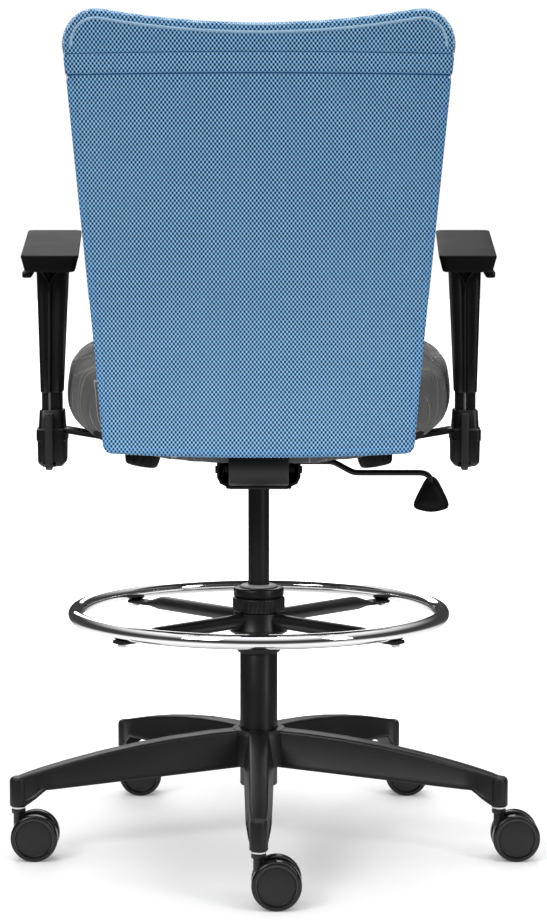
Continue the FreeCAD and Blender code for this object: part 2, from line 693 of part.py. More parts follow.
def screw_pieces(number, angle):
    """A screw through a spoke's flat end into the ring."""
    low = "ring_high - ring_tube - spoke_flat_thick"
    across, back = f"ring_circle * cos({angle})", f"ring_circle * sin({angle})"
    head = primitive("Cylinder", f"screw_head_{number}", None, across, back, f"{low} - screw_head_thick",
                     Radius="screw_head_rad", Height="screw_head_thick")
    shank = primitive("Cylinder", f"screw_shank_{number}", None, across, back, low,
                      Radius="screw_rad", Height="spoke_flat_thick + ring_tube / 2")
    return joined(f"ring_screw_{number}", [head, shank])


def make_foot_ring():
    tube = primitive("Torus", "foot_ring_torus", high="ring_high",
                     Radius1="ring_circle", Radius2="ring_tube")
    keep(tube, "foot_ring")
    spokes = [spoke_pieces(i, angle) for i, angle in enumerate(SPOKE_ANGLES, start=1)]
    keep(group("foot_ring_spokes", spokes), "foot_ring_spokes")
    screws = [screw_pieces(i, angle) for i, angle in enumerate(SPOKE_ANGLES, start=1)]
    keep(group("foot_ring_screws", screws), "foot_ring_screws")
    hub = new_body("foot_ring_hub")
    bore = "tube_rad + run_fit"
    turned(hub, (
        (bore, "ring_hub_low"), ("ring_skirt_rad", "ring_hub_low"),
        ("ring_skirt_rad + 1", "ring_flange_low - 6"), ("ring_flange_rad", "ring_flange_low"),
        ("ring_flange_rad", "ring_flange_top"), ("cone_rad", "neck_low - 3"), ("cone_rad", "neck_low"),
        ("neck_rad", "neck_low"), ("neck_rad", "nut_top + collar_gap"),
        (bore, "nut_top + collar_gap"),
    ))
    keep(place(hub), "foot_ring_hub")
    nut = new_body("foot_ring_lock")
    low = "neck_low + face_gap"
    turned(nut, (
        ("neck_rad + run_fit", low), ("nut_rad - nut_chamfer", low), ("nut_rad", f"{low} + nut_chamfer"),
        ("nut_rad", "nut_top - nut_chamfer"), ("nut_rad - nut_chamfer", "nut_top"),
        ("neck_rad + run_fit", "nut_top"),
    ))
    flute = sketch_on(nut, "XY_Plane", "neck_low")
    ring(flute, "flute_rad", "nut_rad + flute_rad / 2")
    cut = pocket(nut, flute, "nut_top - neck_low + 1", reverse=True)
    around(nut, [cut], "nut_flutes")
    keep(place(nut), "foot_ring_lock")
    collar = new_body("foot_ring_collar")
    low = "nut_top + collar_gap"
    turned(collar, (
        (bore, low), ("collar_rad", low), ("collar_rad", "collar_top - collar_round"),
        ("collar_rad - collar_round", "collar_top"), (bore, "collar_top"),
    ))
    keep(place(collar), "foot_ring_collar")


# Mechanism

def make_housing():
    """A folded tray, open at the top and the rear, with the column's socket through its floor."""
    body = new_body("mechanism_housing")
    side = sketch_on(body, "YZ_Plane")
    outline(side, (
        ("-housing_front", "housing_top"), ("-housing_front", "housing_low + housing_nose"),
        ("-housing_front / 2", "housing_low"), ("housing_back", "housing_low"),
        ("housing_back", "housing_top"),
    ))
    pad(body, side, "housing_wide", both=True)
    inside = sketch_on(body, "YZ_Plane")
    outline(inside, (
        ("-(housing_front - housing_wall)", "housing_top + 1"),
        ("-(housing_front - housing_wall)", "housing_low + housing_nose + housing_wall"),
        ("-housing_front / 2", "housing_low + housing_wall"),
        ("housing_back + 1", "housing_low + housing_wall"), ("housing_back + 1", "housing_top + 1"),
    ))
    pocket(body, inside, "housing_wide - 2 * housing_wall", both=True)
    socket = sketch_on(body, "XY_Plane", "socket_low")
    ring(socket, "socket_rad")
    pad(body, socket, "gas_top - socket_low - 4")
    bore = sketch_on(body, "XY_Plane", "socket_low")
    ring(bore, "gas_rad + run_fit")
    pocket(body, bore, "housing_top - socket_low", reverse=True)
    pin = sketch_on(body, "YZ_Plane")
    ring(pin, "pin_rad + run_fit", "pivot_back", "pivot_high")
    pocket(body, pin, "housing_wide + 2", both=True)
    lever = sketch_on(body, "YZ_Plane", "-housing_wide / 2 - 1")
    ring(lever, "lever_rad + lever_hole", "-lever_forward", "lever_high + 1")
    pocket(body, lever, "housing_wall + 4", reverse=True)
    keep(place(body), "mechanism_housing")


def make_recline_parts():
    pin = primitive("Cylinder", "recline_pin_rod", ALONG_X, "-housing_wide / 2 - pin_proud",
                    "pivot_back", "pivot_high", Radius="pin_rad", Height="housing_wide + 2 * pin_proud")
    keep(pin, "recline_pin")
    clear = value("spring_clear")
    start = max(value("barrel_long / 2"), value("upright_wide / 2")) + clear
    room = value("housing_wide / 2 - housing_wall") - start - clear
    wire = value("spring_wire")
    pitch = (room - 2 * wire) / value("spring_turns")
    coils = []
    for _, side in SIDES:
        helix = Part.makeHelix(pitch, pitch * value("spring_turns"), value("spring_rad"))
        circle = Part.Wire(Part.makeCircle(wire, Vector(value("spring_rad"), 0, 0), ABOUT_Y))
        coil = Part.Wire(helix.Edges).makePipeShell([circle], True, True)
        coil.Placement = Placement(
            Vector(side * (start + wire), value("pivot_back"), value("pivot_high")),
            Rotation(ABOUT_Y, 90 * side),
        )
        coils.append(coil)
    shaped("recline_spring", Part.makeCompound(coils))


def make_lever():
    """A bent rod from the housing out to the paddle."""
    front, high = value("-lever_forward"), value("lever_high")
    low = high - value("lever_drop")
    inner = value("housing_wide / 2 - lever_inside")
    points = [
        Vector(-inner, front, high), Vector(-value("lever_bend_near"), front, high),
        Vector(-value("lever_bend_far"), front, low),
        Vector(-value("lever_reach - lever_hook_run"), front, low),
        Vector(-value("lever_reach"), front, low - value("lever_hook")),
    ]
    radius = value("lever_rad")
    solids = [Part.makeSphere(radius, point) for point in points[1:-1]]
    for start, end in zip(points, points[1:]):
        solids.append(Part.makeCylinder(radius, (end - start).Length, start, end - start))
    rod = solids[0].multiFuse(solids[1:]).removeSplitter()
    shaped("lift_lever", rod)
    wide, tall = value("paddle_wide / 2"), value("paddle_high")
    top = low - value("paddle_drop")
    neck = radius + 1.5
    shoulder = top - tall * 0.74
    left = [Vector(-neck, 0, top), Vector(-wide * 0.72, 0, top - tall * 0.45), Vector(-wide, 0, shoulder)]
    right = [Vector(-p.x, 0, p.z) for p in left]
    base = top - tall
    edges = [
        Part.Arc(left[0], Vector(0, 0, top + neck * 0.8), right[0]).toShape(),
        Part.Arc(right[0], right[1], right[2]).toShape(),
        Part.Arc(right[2], Vector(wide * 0.78, 0, base + 3), Vector(wide * 0.3, 0, base)).toShape(),
        Part.LineSegment(Vector(wide * 0.3, 0, base), Vector(-wide * 0.3, 0, base)).toShape(),
        Part.Arc(Vector(-wide * 0.3, 0, base), Vector(-wide * 0.78, 0, base + 3), left[2]).toShape(),
        Part.Arc(left[2], left[1], left[0]).toShape(),
    ]
    face = Part.Face(Part.Wire(edges))
    thick = value("paddle_thick")
    paddle = face.extrude(Vector(0, thick, 0))
    paddle.translate(Vector(-value("lever_reach"), front - thick / 2, 0))
    shaped("lift_paddle", paddle.cut(rod))


def make_seat_support():
    plate = primitive("Box", "seat_plate_box", None, "-plate_half", "-plate_front", "housing_top",
                      Length="2 * plate_half", Width="plate_front + housing_back",
                      Height="plate_thick")
    keep(plate, "seat_plate")
    pan = new_body("seat_pan")
    section = sketch_on(pan, "XZ_Plane", "-pan_back")
    wing = "(pan_half - pan_flat) * tan(bar_slope)"
    outline(section, (
        ("-pan_half", f"pan_low + {wing}"), ("-pan_flat", "pan_low"), ("pan_flat", "pan_low"),
        ("pan_half", f"pan_low + {wing}"), ("pan_half", f"pan_low + pan_thick + {wing}"),
        ("pan_flat", "pan_low + pan_thick"), ("-pan_flat", "pan_low + pan_thick"),
        ("-pan_half", f"pan_low + pan_thick + {wing}"),
    ))
    pad(pan, section, "pan_front + pan_back")
    smooth(pan, is_upright, "pan_corner")
    keep(place(pan), "seat_pan")


def seat_section(back, half, low, top):
    """A closed cushion section across the seat, flat below and crowned above."""
    tall = top - low
    rows = (
        (0.0, low), (0.36, low), (0.80, low + 0.07 * tall), (0.955, low + 0.26 * tall),
        (1.0, low + 0.48 * tall), (0.985, low + 0.80 * tall), (0.935, low + 0.95 * tall),
        (0.82, low + 0.995 * tall), (0.40, top + 0.012 * tall),
    )
    right = [Vector(half * x, back, z) for x, z in rows]
    left = [Vector(-p.x, p.y, p.z) for p in reversed(right[1:])]
    top_middle = Vector(0, back, top + 0.016 * tall)
    curve = Part.BSplineCurve()
    curve.interpolate(Points=right + [top_middle] + left, PeriodicFlag=True)
    return Part.Wire(curve.toShape())


def make_seat_cushion():
    half, low = value("seat_half"), value("seat_low")
    front, back = value("-seat_front"), value("seat_back")
    high, fall = value("seat_front_top"), value("seat_front_top - seat_back_top")
    long = back - front
    # share of the length from the front, share of the half width, rise below, fall above
    stations = (
        (0.000, 0.84, 46, 40), (0.030, 0.925, 18, 12), (0.140, 0.985, 2, 0), (0.380, 1.000, 0, 0),
        (0.620, 0.968, 0, 0), (0.800, 0.905, 0, 0), (0.920, 0.780, 2, 1), (0.975, 0.680, 9, 8),
        (1.000, 0.590, 30, 26),
    )
    wires = []
    for share, width, rise, drop in stations:
        top = high - fall * max(0.0, share - 0.12) / 0.80 if share < 0.92 else high - fall
        wires.append(seat_section(front + long * share, half * width, low + rise, top - drop))
    cushion = Part.makeLoft(wires, True, False)
    gap = value("soft_gap")
    shaped("seat_cushion", cushion.cut(seat_hollow(gap)))


def seat_hollow(gap):
    """The room under the cushion for the pan, the seat plate and the arm bars."""
    flat, half = value("pan_flat"), value("pan_half") + gap
    slope = math.tan(math.radians(value("bar_slope")))
    low, top = value("seat_low") - 30, value("pan_low + pan_thick") + gap
    back, front = value("pan_back") + gap, value("-pan_front") - gap
    wing = (half - flat) * slope
    corners = ((-half, low), (half, low), (half, top + wing), (flat, top), (-flat, top), (-half, top + wing))
    points = [Vector(x, front, z) for x, z in corners]
    pan_room = Part.Face(Part.makePolygon(points + points[:1])).extrude(Vector(0, back - front, 0))
    upright = [edge for edge in pan_room.Edges if is_upright(edge)]
    pan_room = pan_room.makeFillet(value("pan_corner"), upright)
    wide = value("bar_wide / 2") + 5
    reach = value("seat_half") + 40
    bar_top = value("bar_low + bar_thick") + (reach - value("knob_out")) * slope + gap + 0.4
    corners = ((-reach, low), (reach, low), (reach, bar_top), (flat, bar_top - (reach - flat) * slope),
               (-flat, bar_top - (reach - flat) * slope), (-reach, bar_top))
    points = [Vector(x, value("arm_back") - wide, z) for x, z in corners]
    bar_room = Part.Face(Part.makePolygon(points + points[:1])).extrude(Vector(0, 2 * wide, 0))
    return pan_room.fuse(bar_room)


# Back: every layer follows one curved sheet

def back_profile(high):
    """How far the middle of the mesh stands behind the column's axis at a height."""
    low, waist, top = value("back_low"), value("waist_high"), value("back_top")
    if high < waist:
        share = (waist - high) / (waist - low)
        return value("waist_back") + value("low_sweep") * share ** value("low_power")
    share = (high - waist) / (top - waist)
    return value("waist_back") + value("top_sweep") * share ** value("top_power")


def sheet_slab(start, end):
    """The room between two copies of the sheet, start and end millimetres in front of the mesh."""
    reach = 300
    bow = value("back_sag") * (reach / value("back_half_top")) ** 2
    heights = [
        value("back_low") - 40, value("back_low") + 20, 630, 720, 820, 920, 1010, value("back_top") + 40,
    ]
    wires = []
    for high in heights:
        middle = back_profile(max(high, value("back_low")))
        corners = []
        for depth in (start, end):
            ends = [Vector(side * reach, middle - bow - depth, high) for side in (-1, 1)]
            corners.append((ends[0], Vector(0, middle - depth, high), ends[1]))
        (a, b, c), (d, e, f) = corners
        wires.append(Part.Wire([
            Part.Arc(a, b, c).toShape(), Part.LineSegment(c, f).toShape(),
            Part.Arc(f, e, d).toShape(), Part.LineSegment(d, a).toShape(),
        ]))
    return Part.makeLoft(wires, True, False)


def back_prism(inset):
    """The back's outline, drawn in by an inset, as a prism along Y."""
    low = value("back_low") + inset
    belly = value("back_belly")
    half_low = value("back_half_low") - inset
    half_mid = value("back_half_mid") - inset
    half_top = value("back_half_top") - inset
    wide_high, mid = value("back_wide_high"), value("back_mid")
    top, dip = value("back_top") - inset, value("back_dip")
    corner = value("back_corner") - inset * 0.6
    bend = max(value("back_low_corner") - inset * 0.5, 4)
    right = [
        Vector(half_low - bend, 0, low),
        Vector(half_low - bend * 0.2, 0, low + bend * 0.22),
        Vector(half_low + bend * 0.12, 0, low + bend),
    ]
    side = [right[2], Vector(half_mid, 0, mid), Vector(half_top, 0, wide_high)]
    crown = [
        side[2], Vector(half_top - corner * 0.22, 0, top - corner * 0.23), Vector(half_top - corner, 0, top),
    ]

    def flip(points):
        return [Vector(-p.x, 0, p.z) for p in reversed(points)]

    edges = [
        Part.Arc(*right), spline(side), Part.Arc(*crown),
        Part.Arc(crown[2], Vector(0, 0, top - dip), flip(crown)[0]),
        Part.Arc(*flip(crown)), spline(flip(side)), Part.Arc(*flip(right)),
        Part.Arc(flip(right)[2], Vector(0, 0, low - belly), right[0]),
    ]
    face = Part.Face(Part.Wire([edge.toShape() for edge in edges]))
    return face.extrude(Vector(0, 600, 0))


def spline(points):
    curve = Part.BSplineCurve()
    curve.interpolate(points)
    return curve


def block(x_half, z_low, z_high):
    return Part.makeBox(2 * x_half, 700, z_high - z_low, Vector(-x_half, -50, z_low))


def make_back():
    skin, proud = value("mesh_thick"), value("trim_proud")
    outer = back_prism(0)
    cover = sheet_slab(0, value("mesh_skirt")).common(outer)
    cover = cover.cut(sheet_slab(skin, 2 * value("mesh_skirt")).common(back_prism(skin)))
    shaped("mesh_cover", cover)
    trim = sheet_slab(-proud, -0.05)
    rim = outer.cut(back_prism(value("binding_wide")))
    shaped("mesh_binding", trim.common(rim).common(block(300, 400, value("hem_low") - 1)))
    shaped("mesh_hem", trim.common(outer).common(block(300, value("hem_low"), value("hem_top"))))
    start = value("frame_start")
    inset = skin + value("frame_gap")
    frame = back_prism(inset).cut(back_prism(inset + value("frame_wide")))
    shaped("back_frame", sheet_slab(start, start + value("frame_thick")).common(frame))
    start += value("frame_thick + layer_gap")
    panel = block(value("back_plate_half"), value("back_plate_low"), value("back_plate_top"))
    plate = sheet_slab(start, start + value("back_plate_thick")).common(panel)
    shaped("back_plate", plate)
    start = value("back_pad_start")
    cushion = sheet_slab(start, start + value("back_pad_thick"))
    shaped("back_cushion", cushion.common(back_prism(value("back_pad_inset"))))
    return plate


def make_upright(plate):
    """A flat bar that leaves the recline pin level, bends up and follows the back's plate."""
    thick, wide = value("upright_thick"), value("upright_wide")
    level, pivot = value("pivot_high"), value("pivot_back")
    depth = value("frame_start + frame_thick + back_plate_thick + 4 * layer_gap")
    flare = value("back_sag") * (wide / 2 / value("back_half_top")) ** 2
    top = value("upright_top")
    foot = value("back_plate_low")
    rear_low = Vector(0, back_profile(foot) - depth - flare, foot)
    rear_top = Vector(0, back_profile(top) - depth - flare, top)
    lean = (rear_top - rear_low).normalize()
    out = Vector(0, lean.z, -lean.y)
    under, over = level - thick / 2, level + thick / 2
    bend_in = value("upright_bend")
    bend_out = bend_in + thick
    # centre of the bend: bend_out above the underside and bend_out inside the rear face
    rise = under + bend_out
    along = (rise + out.z * bend_out - rear_low.z) / lean.z
    centre = rear_low + lean * along - out * bend_out
    down = Vector(0, 0, -1)
    middle = (out + down).normalize()
    outer_arc = [centre + d * bend_out for d in (down, middle, out)]
    inner_arc = [centre + d * bend_in for d in (out, middle, down)]
    front_top = rear_top - out * thick
    corners = [
        Part.LineSegment(Vector(0, pivot, under), outer_arc[0]), Part.Arc(*outer_arc),
        Part.LineSegment(outer_arc[2], rear_top), Part.LineSegment(rear_top, front_top),
        Part.LineSegment(front_top, inner_arc[0]), Part.Arc(*inner_arc),
        Part.LineSegment(inner_arc[2], Vector(0, pivot, over)),
        Part.LineSegment(Vector(0, pivot, over), Vector(0, pivot, under)),
    ]
    strip = Part.Face(Part.Wire([edge.toShape() for edge in corners])).extrude(Vector(wide, 0, 0))
    strip.translate(Vector(-wide / 2, 0, 0))
    barrel_half = value("barrel_long / 2")
    axis_start = Vector(-barrel_half, pivot, level)
    barrel = Part.makeCylinder(value("barrel_rad"), 2 * barrel_half, axis_start, ABOUT_X)
    bore = Part.makeCylinder(value("pin_rad + run_fit"), 2 * wide, Vector(-wide, pivot, level), ABOUT_X)
    strip = strip.cut(Part.makeBox(wide, 30, 40, Vector(barrel_half, pivot - 20, level - 20)))
    strip = strip.cut(Part.makeBox(wide, 30, 40, Vector(-barrel_half - wide, pivot - 20, level - 20)))
    upright = strip.fuse(barrel).cut(bore).cut(plate)
    shaped("back_upright", upright)
    screws, forward = [], Vector(0, -1, 0)
    for across in (-value("screw_out"), value("screw_out")):
        for high in (value("screw_low"), value("screw_high")):
            face = back_profile(high) - value("frame_start + frame_thick + layer_gap")
            face -= value("back_sag") * (across / value("back_half_top")) ** 2
            base = Vector(across, face + value("screw_proud"), high)
            head = Part.makeCylinder(value("plate_screw_head"), value("plate_screw_cap"), base, forward)
            shank = Part.makeCylinder(value("plate_screw_rad"), value("plate_screw_long"), base, forward)
            screws.append(head.fuse(shank))
    shaped("back_screws", Part.makeCompound(screws))


# Arms

def bar_placement(side, out, drop=0.0):
    """The frame of an arm bar: origin on its underside at a distance out, X along the bar."""
    slope = math.radians(value("bar_slope"))
    high = value("bar_low") + (out - value("knob_out")) * math.tan(slope)
    turn = Rotation(ABOUT_Z, 0 if side > 0 else 180).multiply(Rotation(ABOUT_Y, -value("bar_slope")))
    base = Vector(side * out, value("arm_back"), high) + turn.multVec(Vector(0, 0, -drop))
    return Placement(base, turn)


def make_bar(name, side):
    """A flat bar with a slot for the knob's stud."""
    body = new_body(name)
    along = "cos(bar_slope)"
    inner, outer = f"-(knob_out - bar_start) / {along}", f"(bar_end - knob_out) / {along}"
    flat = sketch_on(body, "XY_Plane")
    outline(flat, (
        (inner, "-bar_wide / 2"), (outer, "-bar_wide / 2"), (outer, "bar_wide / 2"), (inner, "bar_wide / 2"),
    ))
    pad(body, flat, "bar_thick")
    slot = sketch_on(body, "XY_Plane")
    outline(slot, (
        (f"-width_travel / {along} - stud_rad - 1", "-(stud_rad + 1)"), ("stud_rad + 1", "-(stud_rad + 1)"),
        ("stud_rad + 1", "stud_rad + 1"), (f"-width_travel / {along} - stud_rad - 1", "stud_rad + 1"),
    ))
    pocket(body, slot, "bar_thick + 1", reverse=True)
    body.Placement = bar_placement(side, value("knob_out"))
    keep(body, name)


def make_knob(name, side):
    body = new_body(name)
    turned(body, (
        ("0", "-(knob_high + face_gap)"), ("knob_rad - 4", "-(knob_high + face_gap)"),
        ("knob_rad - 1", "-(knob_high + face_gap) + 3"), ("knob_rad", "-(face_gap + 3)"),
        ("knob_rad - 2", "-face_gap"), ("stud_rad", "-face_gap"), ("stud_rad", "bar_thick"),
        ("0", "bar_thick"),
    ))
    body.Placement = bar_placement(side, value("knob_out"))
    keep(body, name)


def make_guides():
    """A strap under each bar, held to the pan in front of and behind it."""
    straps = []
    for name, side in SIDES:
        body = new_body(f"arm_guide_{name}")
        section = sketch_on(body, "YZ_Plane")
        room = "(bar_wide / 2 + guide_clear)"
        foot = f"({room} + guide_foot)"
        top = "(bar_thick - 0.2)"
        outline(section, (
            (f"-{foot}", f"{top} - guide_thick"), (f"-{room} - guide_thick", f"{top} - guide_thick"),
            (f"-{room} - guide_thick", "-(guide_thick + 0.5)"),
            (f"{room} + guide_thick", "-(guide_thick + 0.5)"),
            (f"{room} + guide_thick", f"{top} - guide_thick"), (foot, f"{top} - guide_thick"), (foot, top),
            (room, top), (room, "-0.5"), (f"-{room}", "-0.5"), (f"-{room}", top), (f"-{foot}", top),
        ))
        pad(body, section, "guide_wide", both=True)
        body.Placement = bar_placement(side, value("guide_out"))
        straps.append(body)
    keep(group("arm_guides", straps), "arm_guides")


def rounded_wire(wide, deep, high, across, back, bend):
    """A rectangle with round corners, level, as a closed wire."""
    x, y = wide / 2 - bend, deep / 2 - bend
    diagonal = bend * math.sqrt(0.5)
    edges = []
    for sx, sy in ((1, 1), (-1, 1), (-1, -1), (1, -1)):
        centre = Vector(across + sx * x, back + sy * y, high)
        ends = [centre + Vector(sx * bend, 0, 0), centre + Vector(0, sy * bend, 0)]
        if sx * sy < 0:
            ends.reverse()
        edges.append((ends[0], centre + Vector(sx * diagonal, sy * diagonal, 0), ends[1]))
    shapes = []
    for i, arc in enumerate(edges):
        shapes.append(Part.Arc(*arc).toShape())
        shapes.append(Part.LineSegment(arc[2], edges[(i + 1) % 4][0]).toShape())
    return Part.Wire(shapes)


def make_sleeve(name, side):
    """The lower sleeve: a moulded socket that the arm tube stands in."""
    across, back = side * value("arm_out"), value("arm_back")
    wide, deep = value("sleeve_wide"), value("sleeve_deep")
    low, shoulder = value("sleeve_low"), value("sleeve_shoulder")
    rows = (
        (low, wide * 0.72, deep * 0.78), (low + 5, wide * 0.93, deep * 0.94), (low + 14, wide, deep),
        (shoulder, wide, deep), (shoulder + 14, wide * 0.97, deep * 0.96),
        (value("sleeve_top"), value("sleeve_mouth_wide"), value("sleeve_mouth_deep")),
    )
    wires = [rounded_wire(w, d, z, across, back, value("post_bend_low")) for z, w, d in rows]
    body = Part.makeLoft(wires, True, True)
    fit = value("slide_fit")
    room = Part.Face(rounded_wire(value("arm_tube_wide") + fit, value("arm_tube_deep") + fit,
                                  value("arm_tube_low"), across, back, 3))
    body = body.cut(room.extrude(Vector(0, 0, value("sleeve_top - arm_tube_low") + 1)))
    shaped(name, body)


def make_tube(name, side):
    """The arm tube: a rectangular steel tube."""
    across, back = side * value("arm_out"), value("arm_back")
    wide, deep, wall = value("arm_tube_wide"), value("arm_tube_deep"), value("arm_tube_wall")
    low, tall = value("arm_tube_low"), value("arm_tube_top - arm_tube_low")
    outer = Part.Face(rounded_wire(wide, deep, low, across, back, 3)).extrude(Vector(0, 0, tall))
    inner = rounded_wire(wide - 2 * wall, deep - 2 * wall, low, across, back, 1)
    shaped(name, outer.cut(Part.Face(inner).extrude(Vector(0, 0, tall))))


def pad_placement(side):
    """The arm pad's frame: origin at the middle of its underside, Y towards its rear."""
    turn = Rotation(ABOUT_Z, side * value("pad_toe")).multiply(Rotation(ABOUT_X, -value("pad_tilt")))
    return Placement(Vector(side * value("pad_out"), 0, value("pad_low")), turn)


def make_post(name, side):
    """The post that slides on the tube and carries the pad."""
    across, back = side * value("arm_out"), value("arm_back")
    low, high = value("post_low"), value("pad_low") + 20
    wires = [
        rounded_wire(value("post_wide_low"), value("post_deep_low"), low, across, back,
                     value("post_bend_low")),
        rounded_wire(value("post_wide_top"), value("post_deep_top"), high,
                     across - side * value("post_lean"), back, value("post_bend")),
    ]
    body = Part.makeLoft(wires, True, True)
    fit = 2 * value("slide_fit")
    inside = rounded_wire(value("arm_tube_wide") + fit, value("arm_tube_deep") + fit, low, across, back, 3)
    body = body.cut(Part.Face(inside).extrude(Vector(0, 0, value("post_cavity_top - post_low"))))
    long = value("pad_long")
    over = Part.makeBox(2 * long, 2 * long, long, Vector(-long, -long, 0))
    over.Placement = pad_placement(side).multiply(over.Placement)
    shaped(name, body.cut(over))


def make_pad(name, side):
    body = new_body(name)
    base = sketch_on(body, "XY_Plane")
    oblong(base, "pad_wide / 2", "pad_long / 2", "pad_corner")
    pad(body, base, "pad_thick")
    tall = value("pad_thick")
    smooth(body, lambda e: all(abs(v.Z - tall) < 1e-6 for v in e.Vertexes), "pad_round")
    body.Placement = pad_placement(side)
    keep(body, name)


def make_trigger(name, side):
    """A small lever outside the post, under the pad."""
    body = new_body(name)
    base = sketch_on(body, "XY_Plane")
    oblong(base, "trigger_wide / 2", "trigger_long / 2", "trigger_wide / 4")
    pad(body, base, "trigger_thick")
    turn = Rotation(ABOUT_X, -value("pad_tilt"))
    across = side * value("arm_out + post_wide_top / 2 + trigger_wide / 2 + trigger_side")
    back = value("arm_back + trigger_back")
    under = value("pad_low") - back * math.tan(math.radians(value("pad_tilt")))
    body.Placement = Placement(Vector(across, back, under - value("trigger_gap + trigger_thick")), turn)
    keep(body, name)


def make_arms():
    make_guides()
    for name, side in SIDES:
        make_bar(f"arm_bar_{name}", side)
        make_knob(f"arm_knob_{name}", side)
        make_sleeve(f"arm_sleeve_{name}", side)
        make_tube(f"arm_tube_{name}", side)
        make_post(f"arm_post_{name}", side)
        make_pad(f"arm_pad_{name}", side)
        make_trigger(f"arm_trigger_{name}", side)


make_base()
make_casters()
make_column()
make_foot_ring()
make_housing()
make_recline_parts()
make_lever()
make_seat_support()
make_seat_cushion()
make_upright(make_back())
make_arms()
doc.recompute()

# Check every object, then write the sub-parts

for thing in doc.Objects:
    if "Invalid" in thing.State or "Error" in thing.State:
        raise RuntimeError(f"{thing.Name} failed: {thing.State}")
for thing in SUB_PARTS:
    if thing.Shape.isNull() or not thing.Shape.isValid() or not thing.Shape.Solids:
        raise RuntimeError(f"{thing.Label} has no valid solid")

os.makedirs("parts", exist_ok=True)
for thing in SUB_PARTS:
    thing.Shape.exportStep(f"parts/{thing.Label}.step")
print(len(SUB_PARTS), "sub-parts written")
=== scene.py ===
# %% [markdown]
# # A drafting chair
# A tall swivel chair: an upholstered seat, a back covered with blue mesh, two arms, a gas column,
# a chromed foot ring and a five-star base on twin-wheel casters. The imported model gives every
# place and every moving body. Each visible piece is modelled again here with finer detail and
# rides on the body of the piece that it stands for.

# %% Load the frame
import math
import bmesh
import bpy
from mathutils import Matrix, Vector


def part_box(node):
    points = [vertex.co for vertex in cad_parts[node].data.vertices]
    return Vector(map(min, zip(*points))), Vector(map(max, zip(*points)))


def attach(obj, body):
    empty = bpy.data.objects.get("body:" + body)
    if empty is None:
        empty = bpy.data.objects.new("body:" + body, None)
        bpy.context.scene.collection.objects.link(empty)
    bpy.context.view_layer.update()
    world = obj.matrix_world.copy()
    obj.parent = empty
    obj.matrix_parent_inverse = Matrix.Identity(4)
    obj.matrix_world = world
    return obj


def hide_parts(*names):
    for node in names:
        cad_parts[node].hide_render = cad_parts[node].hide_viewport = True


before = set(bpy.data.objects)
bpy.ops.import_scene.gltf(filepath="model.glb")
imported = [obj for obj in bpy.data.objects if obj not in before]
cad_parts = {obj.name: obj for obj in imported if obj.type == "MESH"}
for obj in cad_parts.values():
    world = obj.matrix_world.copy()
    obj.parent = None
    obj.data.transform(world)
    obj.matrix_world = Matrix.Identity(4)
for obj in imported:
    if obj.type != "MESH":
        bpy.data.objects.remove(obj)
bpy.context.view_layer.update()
MM = 0.001
ABOUT_X, ABOUT_Y, ABOUT_Z = Vector((1, 0, 0)), Vector((0, 1, 0)), Vector((0, 0, 1))
CASTERS = range(1, 6)
SIDES = (("left", 1), ("right", -1))

# %% [markdown]
# Every piece is placed from the box of the node that it stands for, so these small readers come
# first: the two corners, the middle and the half size of a node.

# %% Read places from the frame


def low_of(node):
    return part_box(node)[0]


def high_of(node):
    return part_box(node)[1]


def middle_of(node):
    low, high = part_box(node)
    return (low + high) / 2


def half_of(node):
    low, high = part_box(node)
    return (high - low) / 2


# %% [markdown]
# Most pieces start from one of three shapes: a profile turned on a lathe, a row of closed rings
# bridged into a skin, or a rod bent through points. Each helper is a thin layer over a bmesh
# operator, so the pieces below read as a list of sizes.

# %% Shapes to start from


def lathe(rows, centre=(0, 0, 0), axis=ABOUT_Z, steps=64, closed=False):
    """Turn (radius, height) rows about an axis through a centre."""
    bm = bmesh.new()
    verts = [bm.verts.new((radius, 0, height)) for radius, height in rows]
    edges = [bm.edges.new(pair) for pair in zip(verts, verts[1:])]
    if closed:
        edges.append(bm.edges.new((verts[-1], verts[0])))
    bmesh.ops.spin(bm, geom=verts + edges, cent=(0, 0, 0), axis=ABOUT_Z, dvec=(0, 0, 0),
                   angle=math.tau, steps=steps, use_merge=True)
    bmesh.ops.remove_doubles(bm, verts=bm.verts, dist=1e-6)
    turn = ABOUT_Z.rotation_difference(Vector(axis)).to_matrix()
    bmesh.ops.rotate(bm, verts=bm.verts, cent=(0, 0, 0), matrix=turn)
    bmesh.ops.translate(bm, verts=bm.verts, vec=Vector(centre))
    return bm


def loft(rings, cap=True):
    """Bridge closed rings of points one after another, and close both ends."""
    bm = bmesh.new()
    loops = []
    for ring in rings:
        verts = [bm.verts.new(point) for point in ring]
        loops.append([bm.edges.new(pair) for pair in zip(verts, verts[1:] + verts[:1])])
    for first, second in zip(loops, loops[1:]):
        bmesh.ops.bridge_loops(bm, edges=first + second)
    if cap:
        for loop in (loops[0], loops[-1]):
            bmesh.ops.contextual_create(bm, geom=loop)
    bmesh.ops.recalc_face_normals(bm, faces=bm.faces)
    return bm


def round_corners(half_wide, half_deep, bend, steps=4):
    """The points of a flat rectangle with round corners, counter-clockwise."""
    points = []
    for quarter, (sx, sy) in enumerate(((1, 1), (-1, 1), (-1, -1), (1, -1))):
        for step in range(steps + 1):
            angle = math.radians(90 * (quarter + step / steps))
            x = sx * (half_wide - bend) + bend * math.cos(angle)
            y = sy * (half_deep - bend) + bend * math.sin(angle)
            points.append((x, y))
    return points


